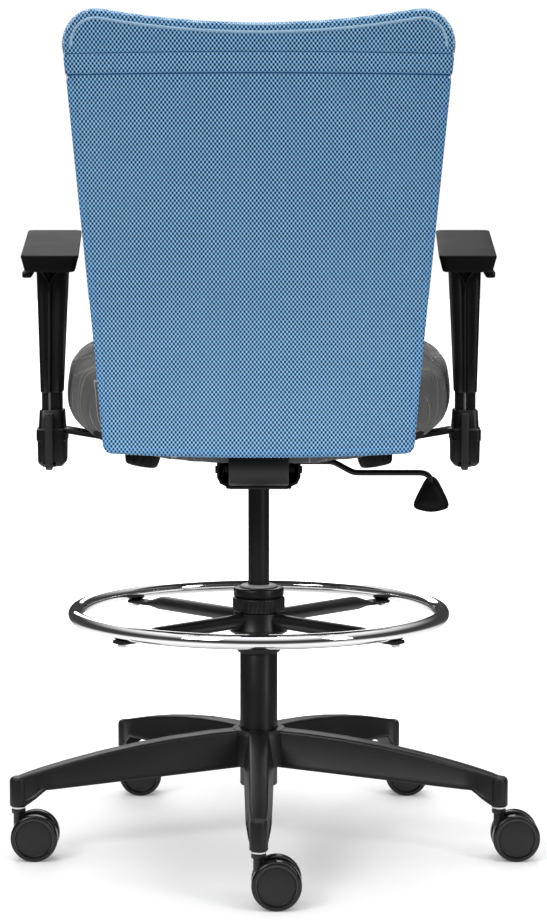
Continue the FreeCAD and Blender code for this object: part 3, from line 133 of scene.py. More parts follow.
def rod(points, radius, smooth=3):
    """A round rod bent through points, closed at both ends, as a bmesh."""
    curve = bpy.data.curves.new("rod", "CURVE")
    curve.dimensions = "3D"
    spline = curve.splines.new("NURBS" if smooth > 1 else "POLY")
    spline.points.add(len(points) - 1)
    for knot, point in zip(spline.points, points):
        knot.co = (*point, 1)
    if smooth > 1:
        spline.order_u = smooth
        spline.use_endpoint_u = True
        spline.resolution_u = 10
    curve.bevel_depth = radius
    curve.bevel_resolution = 5
    curve.use_fill_caps = True
    holder = bpy.data.objects.new("rod", curve)
    bm = bmesh.new()
    bm.from_mesh(bpy.data.meshes.new_from_object(holder))
    bpy.data.objects.remove(holder)
    bmesh.ops.remove_doubles(bm, verts=bm.verts, dist=1e-6)
    return bm


def block(low, high):
    """A box between two corners."""
    bm = bmesh.new()
    low, high = Vector(low), Vector(high)
    size = high - low
    matrix = Matrix.Translation((low + high) / 2) @ Matrix.Diagonal((*size, 1))
    bmesh.ops.create_cube(bm, size=1, matrix=matrix)
    return bm


def soften(bm, width, segments=3, angle=30, only=None):
    """Bevel the edges where two faces meet at more than an angle."""
    limit = math.radians(angle)
    edges = [e for e in bm.edges if e.is_manifold and e.calc_face_angle(0) > limit]
    if only:
        edges = [e for e in edges if only(e)]
    bmesh.ops.bevel(bm, geom=edges, offset=width, offset_type="OFFSET", segments=segments, profile=0.5,
                    affect="EDGES", clamp_overlap=True, material=-1)
    return bm


def moved(bm, vec=(0, 0, 0), turn=None, about=(0, 0, 0)):
    if turn:
        bmesh.ops.rotate(bm, verts=bm.verts, cent=Vector(about), matrix=turn)
    bmesh.ops.translate(bm, verts=bm.verts, vec=Vector(vec))
    return bm


def together(*parts):
    """Several shapes in one bmesh."""
    whole = bmesh.new()
    for part in parts:
        mesh = bpy.data.meshes.new("part")
        part.to_mesh(mesh)
        part.free()
        whole.from_mesh(mesh)
        bpy.data.meshes.remove(mesh)
    return whole


def turn_about(axis, degrees):
    return Matrix.Rotation(math.radians(degrees), 3, axis)


# %% [markdown]
# A finished piece needs a mesh at the origin, smooth shading that keeps its hard edges, a
# material, a body to ride on and the nodes that it stands for. One function does this for all.

# %% Finish a piece


def make_piece(name, bm, body, finish, hides=(), sharp=38, recalc=True, levels=0):
    if recalc:
        bmesh.ops.recalc_face_normals(bm, faces=bm.faces)
    mesh = bpy.data.meshes.new(name)
    bm.to_mesh(mesh)
    bm.free()
    mesh.shade_smooth()
    mesh.set_sharp_from_angle(angle=math.radians(sharp))
    mesh.materials.append(finish.material)
    piece = bpy.data.objects.new(name, mesh)
    bpy.context.scene.collection.objects.link(piece)
    if levels:
        finer = piece.modifiers.new("finer", "SUBSURF")
        finer.levels = finer.render_levels = levels
    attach(piece, body)
    if hides:
        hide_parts(*hides)
    return piece


# %% [markdown]
# A material is easier to read as arithmetic than as a list of nodes. `Value` wraps one output
# socket, and a sum or a product of two adds the Math node that works it out.

# %% Shader arithmetic


class Value:
    def __init__(self, tree, socket):
        self.tree, self.socket = tree, socket

    def math(self, operation, *others, clamp=False):
        node = self.tree.nodes.new("ShaderNodeMath")
        node.operation, node.use_clamp = operation, clamp
        for place, item in zip(node.inputs, (self, *others)):
            if isinstance(item, Value):
                self.tree.links.new(item.socket, place)
            else:
                place.default_value = item
        return Value(self.tree, node.outputs[0])

    def __add__(self, other):
        return self.math("ADD", other)

    def __sub__(self, other):
        return self.math("SUBTRACT", other)

    def __mul__(self, other):
        return self.math("MULTIPLY", other)

    def __truediv__(self, other):
        return self.math("DIVIDE", other)

    def __rsub__(self, other):
        return (self * -1) + other

    __radd__, __rmul__ = __add__, __mul__

    def between(self, low, high):
        """0 below low, 1 above high, smooth in between."""
        node = self.tree.nodes.new("ShaderNodeMapRange")
        node.interpolation_type = "SMOOTHSTEP"
        self.tree.links.new(self.socket, node.inputs["Value"])
        node.inputs["From Min"].default_value = low
        node.inputs["From Max"].default_value = high
        return Value(self.tree, node.outputs["Result"])


class Finish:
    """A material being built round its Principled shader."""

    def __init__(self, slot, name=None, **sockets):
        self.slot = slot
        self.material = bpy.data.materials.new(name or slot)
        self.material.use_nodes = True
        self.tree = self.material.node_tree
        self.shader = self.tree.nodes["Principled BSDF"]
        for key, number in sockets.items():
            self.shader.inputs[key.replace("_", " ")].default_value = number
        self.height = None

    def node(self, kind, settings=None, **sockets):
        """Add a node: its settings first, then a value or a link for each socket."""
        node = self.tree.nodes.new(kind)
        for key, setting in (settings or {}).items():
            setattr(node, key, setting)
        for key, item in sockets.items():
            place = node.inputs[key.replace("_", " ")]
            if isinstance(item, Value):
                self.tree.links.new(item.socket, place)
            else:
                place.default_value = item
        return node

    def out(self, node, name):
        return Value(self.tree, node.outputs[name])

    def place(self, stretch=(1, 1, 1), uv=False):
        """Coordinates in metres, stretched."""
        coordinates = self.node("ShaderNodeTexCoord")
        source = self.out(coordinates, "UV" if uv else "Object")
        mapping = self.node("ShaderNodeMapping", Vector=source, Scale=stretch)
        return self.out(mapping, "Vector")

    def noise(self, scale, stretch=(1, 1, 1), detail=2, uv=False):
        node = self.node("ShaderNodeTexNoise", Vector=self.place(stretch, uv), Scale=scale, Detail=detail)
        return self.out(node, "Fac")

    def mix(self, share, first, second):
        """A colour between two colours."""
        node = self.node("ShaderNodeMix", {"data_type": "RGBA"})
        for place, item in ((0, share), (6, first), (7, second)):
            if isinstance(item, Value):
                self.tree.links.new(item.socket, node.inputs[place])
            else:
                node.inputs[place].default_value = item if place == 0 else (*item[:3], 1)
        return Value(self.tree, node.outputs[2])

    def feed(self, socket, value):
        self.tree.links.new(value.socket, self.shader.inputs[socket])

    def bump(self, height, distance, strength=1.0):
        """Relief whose full height is a distance in metres."""
        node = self.node("ShaderNodeBump", Height=height, Distance=distance, Strength=strength)
        self.feed("Normal", self.out(node, "Normal"))


# %% [markdown]
# The chair has five families of finish. Moulded plastic has a fine spark-eroded grain and a
# slightly uneven sheen. Powder coat is smoother, with a soft orange-peel wave. Chrome only needs
# faint smears. Bright steel has turning marks. Fabric and mesh get cells of their own below.

# %% Hard finishes


def plastic(slot, shade=0.018, rough=0.42, grain=1500, relief=0.00005, name=None, shine=0.45):
    """Moulded plastic: fine grain in the tool, and a sheen that wanders a little."""
    finish = Finish(slot, name, Specular_IOR_Level=shine)
    patch = finish.noise(14, detail=3)
    fine = finish.noise(grain, detail=1)
    finish.feed("Roughness", (patch - 0.5) * 0.16 + (fine - 0.5) * 0.1 + rough)
    dark, light = (shade * 0.8,) * 3, (shade * 1.3, shade * 1.3, shade * 1.38)
    finish.feed("Base Color", finish.mix(patch, dark, light))
    finish.bump(fine, relief)
    return finish


def coat(slot, shade=0.016, rough=0.33, name=None):
    """Black powder coat with a faint orange-peel wave."""
    finish = Finish(slot, name, Specular_IOR_Level=0.5)
    wave = finish.noise(420, detail=1)
    patch = finish.noise(9, detail=2)
    finish.feed("Roughness", (patch - 0.5) * 0.12 + rough)
    finish.feed("Base Color", finish.mix(patch, (shade * 0.85,) * 3, (shade * 1.2, shade * 1.2, shade * 1.3)))
    finish.bump(wave, 0.00006)
    return finish


def chrome(slot):
    finish = Finish(slot, Base_Color=(0.93, 0.93, 0.94, 1), Metallic=1.0)
    smear = finish.noise(22, (1, 1, 0.3), 4)
    finish.feed("Roughness", smear.between(0.45, 0.75) * 0.07 + 0.035)
    return finish


def steel(slot, rough=0.25, name=None, shade=0.72):
    finish = Finish(slot, name, Base_Color=(shade, shade, shade, 1), Metallic=1.0)
    marks = finish.noise(700, (1, 1, 12), 2)
    finish.feed("Roughness", marks * 0.16 + rough - 0.08)
    finish.bump(marks, 0.00002)
    return finish


BASE = plastic("base_plastic", 0.0045, 0.42)
CASTER = plastic("caster_plastic", 0.008, 0.36)
WHEEL_RIM = plastic("wheel_plastic", 0.006, 0.18, grain=600, relief=0.00002, name="wheel_rim")
WHEEL_DISC = plastic("wheel_plastic", 0.011, 0.46, name="wheel_disc")
WHEEL_LIP = plastic("wheel_plastic", 0.006, 0.14, name="wheel_lip", shine=0.9)
HUB = plastic("hub_plastic", 0.007, 0.34)
# Painted highlight: a lighter grey for the sleeve's rib and the post's keel, for the light these ridges catch.
ARM_RIB_PAINTED_HIGHLIGHT = plastic("arm_plastic", 0.035, 0.38, name="arm_rib_painted_highlight")
CONTROL = plastic("control_plastic", 0.003, 0.45, shine=0.25)
ARM = plastic("arm_plastic", 0.006, 0.38)
PAD = plastic("pad_foam", 0.006, 0.62, grain=1100, relief=0.00009, shine=0.12)
FRAME = plastic("frame_plastic", 0.03, 0.45)
PANEL = plastic("back_plastic", 0.16, 0.5)
BUSH = plastic("bush_plastic", 0.62, 0.4)
COLUMN = coat("column_paint", 0.01, 0.36)
SPOKE = coat("spoke_paint", 0.008, 0.36)
MECHANISM = coat("mechanism_paint", 0.004, 0.45)
LEVER = coat("lever_paint", 0.003, 0.3)
ARM_STEEL = coat("arm_steel", 0.008, 0.32)
CHROME = chrome("ring_chrome")
CASTER_STEEL = steel("caster_steel", 0.16)
SCREW_STEEL = steel("inner_steel", 0.3)
print("hard finishes", 19)

# %% [markdown]
# The seat is woven in charcoal with a fine vertical rib, and a print of thin wandering arcs in
# white, grey, olive and a little orange. The arcs are parts of large circles round scattered
# points: a Voronoi texture gives each point's distance and a colour of its own, and its cell
# edges cut the circles short. The weave is two crossing waves at yarn scale.

# %% Fabric with fine arcs


def arcs(finish, scale, radius, width, shift):
    """A mask of thin arcs round scattered points, and the random value of each point."""
    spot = finish.place((1, 1, 1), uv=True)
    bend = finish.node("ShaderNodeTexNoise", Vector=spot, Scale=6.0, Detail=0.0)
    wander = finish.node("ShaderNodeVectorMath", {"operation": "MULTIPLY_ADD"})
    tree = finish.tree
    tree.links.new(bend.outputs["Color"], wander.inputs[0])
    wander.inputs[1].default_value = (0.006,) * 3
    moved_spot = finish.node("ShaderNodeVectorMath", {"operation": "ADD"})
    tree.links.new(spot.socket, moved_spot.inputs[0])
    moved_spot.inputs[1].default_value = (shift, shift * 1.7, 0)
    tree.links.new(moved_spot.outputs[0], wander.inputs[2])
    cell = finish.node("ShaderNodeTexVoronoi", {"voronoi_dimensions": "2D"}, Scale=scale, Randomness=1.0)
    tree.links.new(wander.outputs[0], cell.inputs["Vector"])
    far = finish.out(cell, "Distance") - radius
    broken = finish.noise(9 + shift, detail=1, uv=True).between(0.37, 0.43)
    mask = (1 - far.math("ABSOLUTE").between(width * 0.5, width)) * broken
    split = finish.node("ShaderNodeSeparateColor")
    tree.links.new(cell.outputs["Color"], split.inputs[0])
    return mask, finish.out(split, "Red")


def weave(finish, across, along):
    """Crossing yarns as a height between 0 and 1."""
    heights = []
    for pitch, axis in ((across, 0), (along, 1)):
        split = finish.node("ShaderNodeSeparateXYZ", Vector=finish.place(uv=True))
        line = finish.out(split, "XYZ"[axis])
        heights.append((line * (math.tau / pitch)).math("SINE") * 0.5 + 0.5)
    return heights[0] * heights[1], heights[0]


def arc_fabric(slot):
    finish = Finish(slot, Sheen_Weight=0.25, Sheen_Roughness=0.5, Specular_IOR_Level=0.2, Roughness=0.9)
    knit, rib = weave(finish, 0.0016, 0.0011)
    streak = finish.noise(420, (0.05, 1, 1), 2, uv=True)
    colour = finish.mix(streak.between(0.25, 0.75), (0.035, 0.035, 0.037), (0.13, 0.13, 0.135))
    colour = finish.mix(rib * 0.35, colour, (0.15, 0.15, 0.155))
    families = (
        (9.0, 0.50, 0.0062, 0.0, (0.80, 0.80, 0.78), 0.15), (7.0, 0.55, 0.0048, 3.1, (0.50, 0.45, 0.09), 0.3),
        (8.4, 0.44, 0.0055, 7.7, (0.34, 0.34, 0.34), 0.2), (6.0, 0.47, 0.0038, 5.3, (0.42, 0.20, 0.07), 0.75),
        (7.6, 0.60, 0.0050, 9.4, (0.48, 0.48, 0.47), 0.3), (5.2, 0.52, 0.0034, 2.2, (0.52, 0.52, 0.51), 0.25),
    )
    for scale, radius, width, shift, tint, rare in families:
        mask, chance = arcs(finish, scale, radius, width, shift)
        colour = finish.mix(mask * chance.between(rare, rare + 0.02) * 0.95, colour, tint)
    finish.feed("Base Color", colour)
    finish.bump(knit, 0.00025)
    return finish


SEAT_FABRIC = arc_fabric("seat_fabric")
BACK_FABRIC = arc_fabric("back_fabric")

# %% [markdown]
# The cover is a spacer mesh: two knitted faces with staggered holes, held a little apart. The
# holes are cut through with Alpha, so that the dark cushion shows and the two faces slide over
# each other as the view moves. A product of two cosines puts the holes on a staggered lattice.

# %% Blue mesh


def mesh_height(finish, pitch, row):
    """1 in the middle of a hole and -1 in the middle of a knot."""
    split = finish.node("ShaderNodeSeparateXYZ", Vector=finish.place(uv=True))
    across = (finish.out(split, "X") * (math.tau / pitch)).math("COSINE")
    along = (finish.out(split, "Y") * (math.pi / row)).math("COSINE")
    return across * along


def spacer_mesh(slot, name, hole, knot_highlight, low=(0.03, 0.23, 0.68), high=(0.22, 0.60, 1.0), cut=False):
    """Knitted mesh; hole is the lattice level where the yarn ends, and a cut hole is open. The knots are mixed
    towards pale cyan by a share, as painted highlight, and an uncut hole is coloured dark navy, as painted
    shade.
    """
    finish = Finish(slot, name, Specular_IOR_Level=0.25, Roughness=0.55)
    lattice = mesh_height(finish, 0.00494, 0.00305)
    yarn = finish.noise(1600, (1, 0.35, 1), 2, uv=True)
    cloud = finish.noise(7, detail=2)
    colour = finish.mix(yarn * 0.6 + cloud * 0.3, low, high)
    knot = (lattice * -1).between(-0.1, 0.9)
    # Painted highlight: the knots turn pale cyan for the light that the yarn crossings catch.
    colour = finish.mix(knot * knot_highlight, colour, (0.60, 0.88, 1.0))
    open_part = lattice.between(hole - 0.06, hole + 0.08)
    if cut:
        finish.feed("Alpha", 1 - open_part)
    else:
        # Painted shade: an uncut hole is coloured dark navy for the shade seen through it.
        colour = finish.mix(open_part, colour, (0.002, 0.02, 0.09))
    finish.feed("Base Color", colour)
    finish.bump(lattice * -0.5 + yarn * 0.2, 0.0009)
    return finish


# Painted highlight: the pale knots of the cover, hem, binding and piping.
MESH = spacer_mesh("mesh_fabric", "mesh_cover", 0.18, 0.95, cut=True)
# Painted shade: the second face is the same yarn coloured darker navy, for the shade it lies in.
INNER_MESH_PAINTED_SHADE = spacer_mesh("mesh_fabric", "mesh_inner_face_painted_shade", 1.6, 0.0, (0.002, 0.03, 0.14), (0.005, 0.06, 0.26))
# Painted shade: the hem's and the binding's holes are not cut but coloured dark navy.
HEM = spacer_mesh("mesh_trim", "mesh_hem", 0.16, 1.0)
BINDING = spacer_mesh("mesh_trim", "mesh_binding", 0.3, 0.8)
# Painted highlight: the piping is a paler blue than the mesh, for the light along the rounded top.
PIPING_PAINTED_HIGHLIGHT = spacer_mesh("mesh_trim", "mesh_piping_painted_highlight", 1.6, 1.0, (0.30, 0.52, 0.80), (0.55, 0.78, 1.0))
# Painted shadow: dark navy strips along the hem's edges, for the shadow of the hem's raised band.
HEM_PAINTED_SHADOW = spacer_mesh("mesh_trim", "mesh_hem_painted_shadow", 1.6, 0.0, (0.01, 0.06, 0.20), (0.02, 0.10, 0.30))

# %% [markdown]
# A pale floor and soft light from large panels, so that the black pieces show their edges. The
# camera stands low behind the chair, at the height of the arm pads, with a long lens.

# %% Stage, light and camera


SKY_RIM, SKY_TOP = 0.05, 1.05


def make_stage():
    floor = bmesh.new()
    bmesh.ops.create_grid(floor, x_segments=1, y_segments=1, size=30)
    mesh = bpy.data.meshes.new("floor")
    floor.to_mesh(mesh)
    floor.free()
    stage = bpy.data.objects.new("floor", mesh)
    bpy.context.scene.collection.objects.link(stage)
    paint = Finish("floor", Base_Color=(0.93, 0.93, 0.93, 1), Roughness=0.6, Specular_IOR_Level=0.2,
                   Emission_Strength=1.0)
    # Painted light: the floor glows for camera rays only, faintly near the chair and almost white far off.
    seen = paint.out(paint.node("ShaderNodeLightPath"), "Is Camera Ray")
    span = paint.node("ShaderNodeVectorMath", {"operation": "LENGTH"}, Vector=paint.place())
    far = paint.out(span, "Value")
    glow = seen * (far.between(0.35, 1.3) * 0.9 + 0.17)
    paint.feed("Emission Color", paint.mix(glow, (0, 0, 0), (1, 1, 1)))
    # For reflections and bounce light the floor is painted dark far from the chair, which darkens the chrome's
    # reflections.
    dim = far.between(0.5, 1.6) * (1 - seen)
    paint.feed("Base Color", paint.mix(dim, (0.93, 0.93, 0.93), (0.05, 0.05, 0.05)))
    mesh.materials.append(paint.material)
    world = bpy.data.worlds.new("studio")
    bpy.context.scene.world = world
    world.use_nodes = True
    tree = world.node_tree
    spot = tree.nodes.new("ShaderNodeSeparateXYZ")
    tree.links.new(tree.nodes.new("ShaderNodeTexCoord").outputs["Generated"], spot.inputs[0])
    rays = tree.nodes.new("ShaderNodeLightPath")
    seen = Value(tree, rays.outputs["Is Camera Ray"])
    sky = Value(tree, spot.outputs["Z"]).between(0.3, 0.95) * SKY_TOP + SKY_RIM
    strength = seen * 1.02 + (1 - seen) * sky
    tree.links.new(strength.socket, tree.nodes["Background"].inputs["Strength"])
    tree.nodes["Background"].inputs["Color"].default_value = (1, 1, 1, 1)


def add_panel(name, place, target, size, watts):
    light = bpy.data.lights.new(name, "AREA")
    light.shape = "RECTANGLE"
    light.size, light.size_y = size
    light.energy = watts
    lamp = bpy.data.objects.new(name, light)
    lamp.location = place
    lamp.rotation_euler = (Vector(target) - Vector(place)).to_track_quat("-Z", "Y").to_euler()
    bpy.context.scene.collection.objects.link(lamp)


def make_camera():
    camera = bpy.data.cameras.new("camera")
    camera.sensor_width = 36
    camera.lens = 92.16
    camera.shift_x = 0.016
    holder = bpy.data.objects.new("camera", camera)
    holder.location = (0, 3.1227, 0.8015)
    look = Vector((0, -math.cos(0.0926), -math.sin(0.0926)))
    holder.rotation_euler = look.to_track_quat("-Z", "Y").to_euler()
    bpy.context.scene.collection.objects.link(holder)
    bpy.context.scene.camera = holder


make_stage()
add_panel("key", (1.9, 2.6, 2.4), (0, 0, 0.6), (1.3, 1.3), 48)
add_panel("fill", (-2.3, 2.0, 1.6), (0, 0, 0.6), (0.7, 2.0), 26)
add_panel("top", (0, -0.4, 3.0), (0, 0, 0.5), (2.2, 2.2), 30)
add_panel("front", (0.4, -3.0, 1.8), (0, 0, 0.6), (2.0, 1.6), 22)
make_camera()
bpy.context.scene.view_settings.view_transform = "Standard"

# %% [markdown]
# The base is moulded nylon in one piece. A leg is a tall rounded trapezium that falls in a long
# curve to its end, so it is a row of rings bridged along its length, and its end slopes in
# under the boss. The five legs are turned copies that meet in a lathe-turned hub.

# %% Five-star base


def leg_ring(out, top, low, half_top, half_low):
    """A section across a leg: a trapezium with round upper corners and a small lip below."""
    bend = 3 * MM
    right = [
        (half_top - bend, top), (half_top - bend * 0.45, top - bend * 0.16),
        (half_top - bend * 0.08, top - bend * 0.55), (half_top + 0.4 * MM, top - bend * 1.3),
        (half_low - 1.2 * MM, low + 7 * MM), (half_low, low + 5 * MM),
        (half_low, low + 1.5 * MM), (half_low - 1.5 * MM, low),
    ]
    points = [Vector((x, out, z)) for x, z in right]
    return points + [Vector((-p.x, out, p.z)) for p in reversed(points)]


def make_base():
    high = high_of("five_star_base")
    circle = 0.329
    hub_top, hub_low, fall, rise = high.z, 106 * MM, 44 * MM, 17 * MM
    # distance out, share of the underside's fall to the boss, narrowing towards the boss
    stations = (
        (0.02, 0, 1), (0.07, 0, 1), (0.12, 0, 1), (0.17, 0, 1), (0.22, 0, 1), (0.26, 0, 1), (0.285, 0, 1),
        (0.2955, 0, 0.98), (0.301, 0.24, 0.93), (0.309, 0.62, 0.84), (0.3185, 1.0, 0.70), (0.329, 1.0, 0.5))
    rings = []
    for out, drop, narrow in stations:
        share = out / circle
        top_half, low_half = (27 - 5 * share) / 2 * narrow ** 0.4, (42 - 11 * share) / 2 * narrow
        rings.append(leg_ring(out, hub_top - fall * share ** 2 - 0.4 * MM * (share > 0.97),
                              hub_low - rise * share - 17 * MM * drop, top_half * MM, low_half * MM))
    legs = []
    for number in CASTERS:
        turn = turn_about(ABOUT_Z, 72 * (number - 1))
        legs.append(moved(loft(rings), turn=turn))
        boss = lathe(((0, 70), (8.4, 70), (8.4, 70.9), (9.8, 70.9), (10.4, 70), (11.5, 71.2), (11.5, 103),
                      (10.4, 106.4), (8, 108.4), (0, 109)), steps=32)
        bmesh.ops.scale(boss, vec=(MM, MM, MM), verts=boss.verts)
        legs.append(moved(moved(boss, (0, circle, 0)), turn=turn))
    hub = lathe(((25.2, 106), (43, 106), (43.5, 110), (43, 120), (38.5, 146), (37, 150.5), (34.5, 152.8),
                 (27.5, 153), (26, 151.6), (25.2, 150)), steps=64)
    bmesh.ops.scale(hub, vec=(MM, MM, MM), verts=hub.verts)
    make_piece("star_base", together(hub, *legs), "base", BASE, ("five_star_base",), sharp=32)


make_base()

# %% [markdown]
# A caster is a post with a web between two wheels. The wheel is turned: a glossy rim with a
# rounded tread, and a matt disc set in it with two shallow steps that catch the light.

# %% Casters


def make_caster(number):
    axle = middle_of(f"caster_wheel_outer_{number}")
    outer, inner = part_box(f"caster_wheel_outer_{number}"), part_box(f"caster_wheel_inner_{number}")
    plane = (outer[1].y + inner[0].y) / 2
    post_x = high_of(f"caster_body_{number}").x - 9.2 * MM
    body_top = high_of(f"caster_body_{number}").z
    hub = (axle.x, plane, axle.z)
    body = f"caster_{number}"
    web = lathe(((0, -6.8), (20.5, -6.8), (22.4, -4.9), (22.4, 4.9), (20.5, 6.8), (0, 6.8)), steps=48)
    boss = lathe(((0, -14.2), (10.2, -14.2), (11, -13.4), (11, 13.4), (10.2, 14.2), (0, 14.2)), steps=32)
    for part in (web, boss):
        bmesh.ops.scale(part, vec=(MM, MM, MM), verts=part.verts)
        moved(part, turn=turn_about(ABOUT_X, -90))
        moved(part, hub)
    post = lathe(((0, 0.019), (0.0066, 0.019), (0.0068, 0.021), (0.0068, 0.0602), (0.0088, 0.0609),
                  (0.0092, 0.0616), (0.0092, body_top - 0.8 * MM), (0.0084, body_top), (0.0052, body_top),
                  (0.0052, body_top - 3 * MM), (0, body_top - 3 * MM)), (post_x, plane, 0), steps=32)
    make_piece(f"caster_fork_{number}", together(web, boss, post), body, CASTER, (f"caster_body_{number}",))
    rim_rows = (
        (24.2, 8.4), (24.6, 7.6), (28.2, 7.2), (29.6, 7.7), (30.5, 9.0), (30.7, 11.0), (30.7, 18.0),
        (30.45, 20.0), (29.6, 21.4), (28.2, 22.0), (25.6, 22.0), (24.4, 21.5), (24.0, 20.4), (24.0, 16.0),
    )
    disc_rows = (
        (4.1, 14.6), (23.9, 14.6), (23.9, 20.0), (23.2, 20.3), (22.6, 19.9), (21.8, 20.2),
        (12.0, 20.9), (4.0, 21.2),
        (0, 21.25), (0, 19.6), (4.1, 19.6),
    )
    lip_rows = ((23.4, 20.0), (24.3, 20.0), (25.7, 21.6), (25.3, 22.15), (24.2, 21.9), (23.5, 20.9))
    for side, word in ((1, "outer"), (-1, "inner")):
        for rows, finish, part, hides in (
            (rim_rows, WHEEL_RIM, "rim", (f"caster_wheel_{word}_{number}",)),
            (disc_rows, WHEEL_DISC, "disc", ()),
            (lip_rows, WHEEL_LIP, "lip", ()),
        ):
            wheel = lathe([(radius * MM, height * MM) for radius, height in rows], steps=56, closed=True)
            moved(wheel, turn=turn_about(ABOUT_X, -90 * side))
            moved(wheel, hub)
            make_piece(f"wheel_{part}_{word}_{number}", wheel, f"wheel_{word}_{number}", finish, hides)


def make_stems():
    parts = []
    for number in CASTERS:
        post_x = high_of(f"caster_body_{number}").x - 9.2 * MM
        plane = middle_of(f"caster_body_{number}").y
        washer = lathe(((0, 63.6), (5, 63.6), (5, 66.6), (8.4, 66.6), (9.2, 67.3), (9.2, 69.2), (8.6, 69.95),
                        (0, 69.95)), steps=40)
        bmesh.ops.scale(washer, vec=(MM, MM, MM), verts=washer.verts)
        parts.append(moved(washer, (post_x, plane, 0)))
    make_piece("stem_washers", together(*parts), "base", CASTER_STEEL, ("caster_stems",))


for number in CASTERS:
    make_caster(number)
make_stems()

# %% [markdown]
# The column is three turned pieces: the wide tube in black powder coat, a nylon bush whose rim
# shows at its top, and the slim gas cylinder. Lathes with small rounded edges are enough.

# %% Column


def turned_piece(name, rows, body, finish, hides, steps=64, closed=False, edge=0.0):
    bm = lathe([(radius * MM, height * MM) for radius, height in rows], steps=steps, closed=closed)
    if edge:
        soften(bm, edge * MM)
    return make_piece(name, bm, body, finish, hides)


tube_low, tube_top = low_of("column_tube").z / MM, high_of("column_tube").z / MM
turned_piece("column_sleeve", ((6, tube_low), (24, tube_low), (25, tube_low + 1), (25, tube_top - 0.8),
             (24.4, tube_top), (23.4, tube_top), (23.4, tube_top - 90), (6, tube_top - 90)),
             "base", COLUMN, ("column_tube",), closed=True)
turned_piece("guide_bush", ((14.05, tube_top - 20), (23.3, tube_top - 20), (23.3, tube_top), (24, tube_top),
             (24, tube_top + 1.2), (23, tube_top + 2), (18, tube_top + 3), (15, tube_top + 3),
             (14.05, tube_top + 2)), "base", BUSH, ("column_guide_bush",), closed=True)
gas_low, gas_top = low_of("gas_cylinder").z / MM, high_of("gas_cylinder").z / MM
turned_piece("gas_spring", ((0, gas_low), (13.2, gas_low), (14, gas_low + 0.8), (14, gas_top - 40),
             (13.4, gas_top), (0, gas_top)), "seat", COLUMN, ("gas_cylinder",))

# %% [markdown]
# The foot ring is one chromed tube. The spokes are round bars whose ends are pressed flat and
# bolted under the ring: each is a row of rings that go from a circle to a flat oval.

# %% Foot ring


def make_ring():
    low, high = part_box("foot_ring")
    tube = (high.z - low.z) / 2
    circle = high.x - tube
    bm = bmesh.new()
    bmesh.ops.create_circle(bm, cap_ends=False, segments=28, radius=tube)
    moved(bm, (circle, 0, 0), turn=turn_about(ABOUT_X, 90))
    bmesh.ops.spin(bm, geom=bm.verts[:] + bm.edges[:], cent=(0, 0, 0), axis=ABOUT_Z, dvec=(0, 0, 0),
                   angle=math.tau, steps=160, use_merge=True)
    bmesh.ops.remove_doubles(bm, verts=bm.verts, dist=1e-6)
    moved(bm, (0, 0, (low.z + high.z) / 2))
    make_piece("chrome_ring", bm, "foot_ring", CHROME, ("foot_ring",))
    return circle, low.z


def spoke_ring(out, half_wide, half_tall, high, power):
    """A closed section of a spoke: a circle at power 2, a flat slab at a high power."""
    points = []
    for step in range(24):
        angle = math.tau * step / 24
        c, s = math.cos(angle), math.sin(angle)
        y = half_wide * math.copysign(abs(c) ** (2 / power), c)
        z = half_tall * math.copysign(abs(s) ** (2 / power), s)
        points.append(Vector((out, y, high + z)))
    return points


def make_spokes(circle, under):
    high = middle_of("foot_ring_spokes").z
    flat = under - 2.5 * MM
    flat_start = circle - 38 * MM
    rings = [
        spoke_ring(0.030, 9.6 * MM, 9.6 * MM, high, 2),
        spoke_ring(flat_start - 20 * MM, 9.6 * MM, 9.6 * MM, high, 2),
        spoke_ring(flat_start - 12 * MM, 9.9 * MM, 8.6 * MM, high - 0.8 * MM, 2.1),
        spoke_ring(flat_start, 12.0 * MM, 4.6 * MM, flat + 1.5 * MM, 2.8),
        spoke_ring(flat_start + 7 * MM, 12.9 * MM, 2.5 * MM, flat, 6),
        spoke_ring(circle + 3 * MM, 12.9 * MM, 2.5 * MM, flat, 6),
        spoke_ring(circle + 6.4 * MM, 10.5 * MM, 2.4 * MM, flat, 5),
    ]
    spokes, screws = [], []
    for quarter in range(4):
        turn = turn_about(ABOUT_Z, 45 + 90 * quarter)
        spokes.append(moved(loft(rings), turn=turn))
        head = lathe(((0, 0), (2.2, 0), (2.6, 1.2), (4.6, 0.2), (5.5, 1.6), (5.5, 4.4), (0, 4.4)), steps=32)
        bmesh.ops.scale(head, vec=(MM, MM, MM), verts=head.verts)
        screws.append(moved(moved(head, (circle, 0, flat - 6.9 * MM)), turn=turn))
    make_piece("ring_spokes", together(*spokes), "foot_ring", SPOKE, ("foot_ring_spokes",), sharp=45)
    make_piece("ring_screws", together(*screws), "foot_ring", SCREW_STEEL, ("foot_ring_screws",))


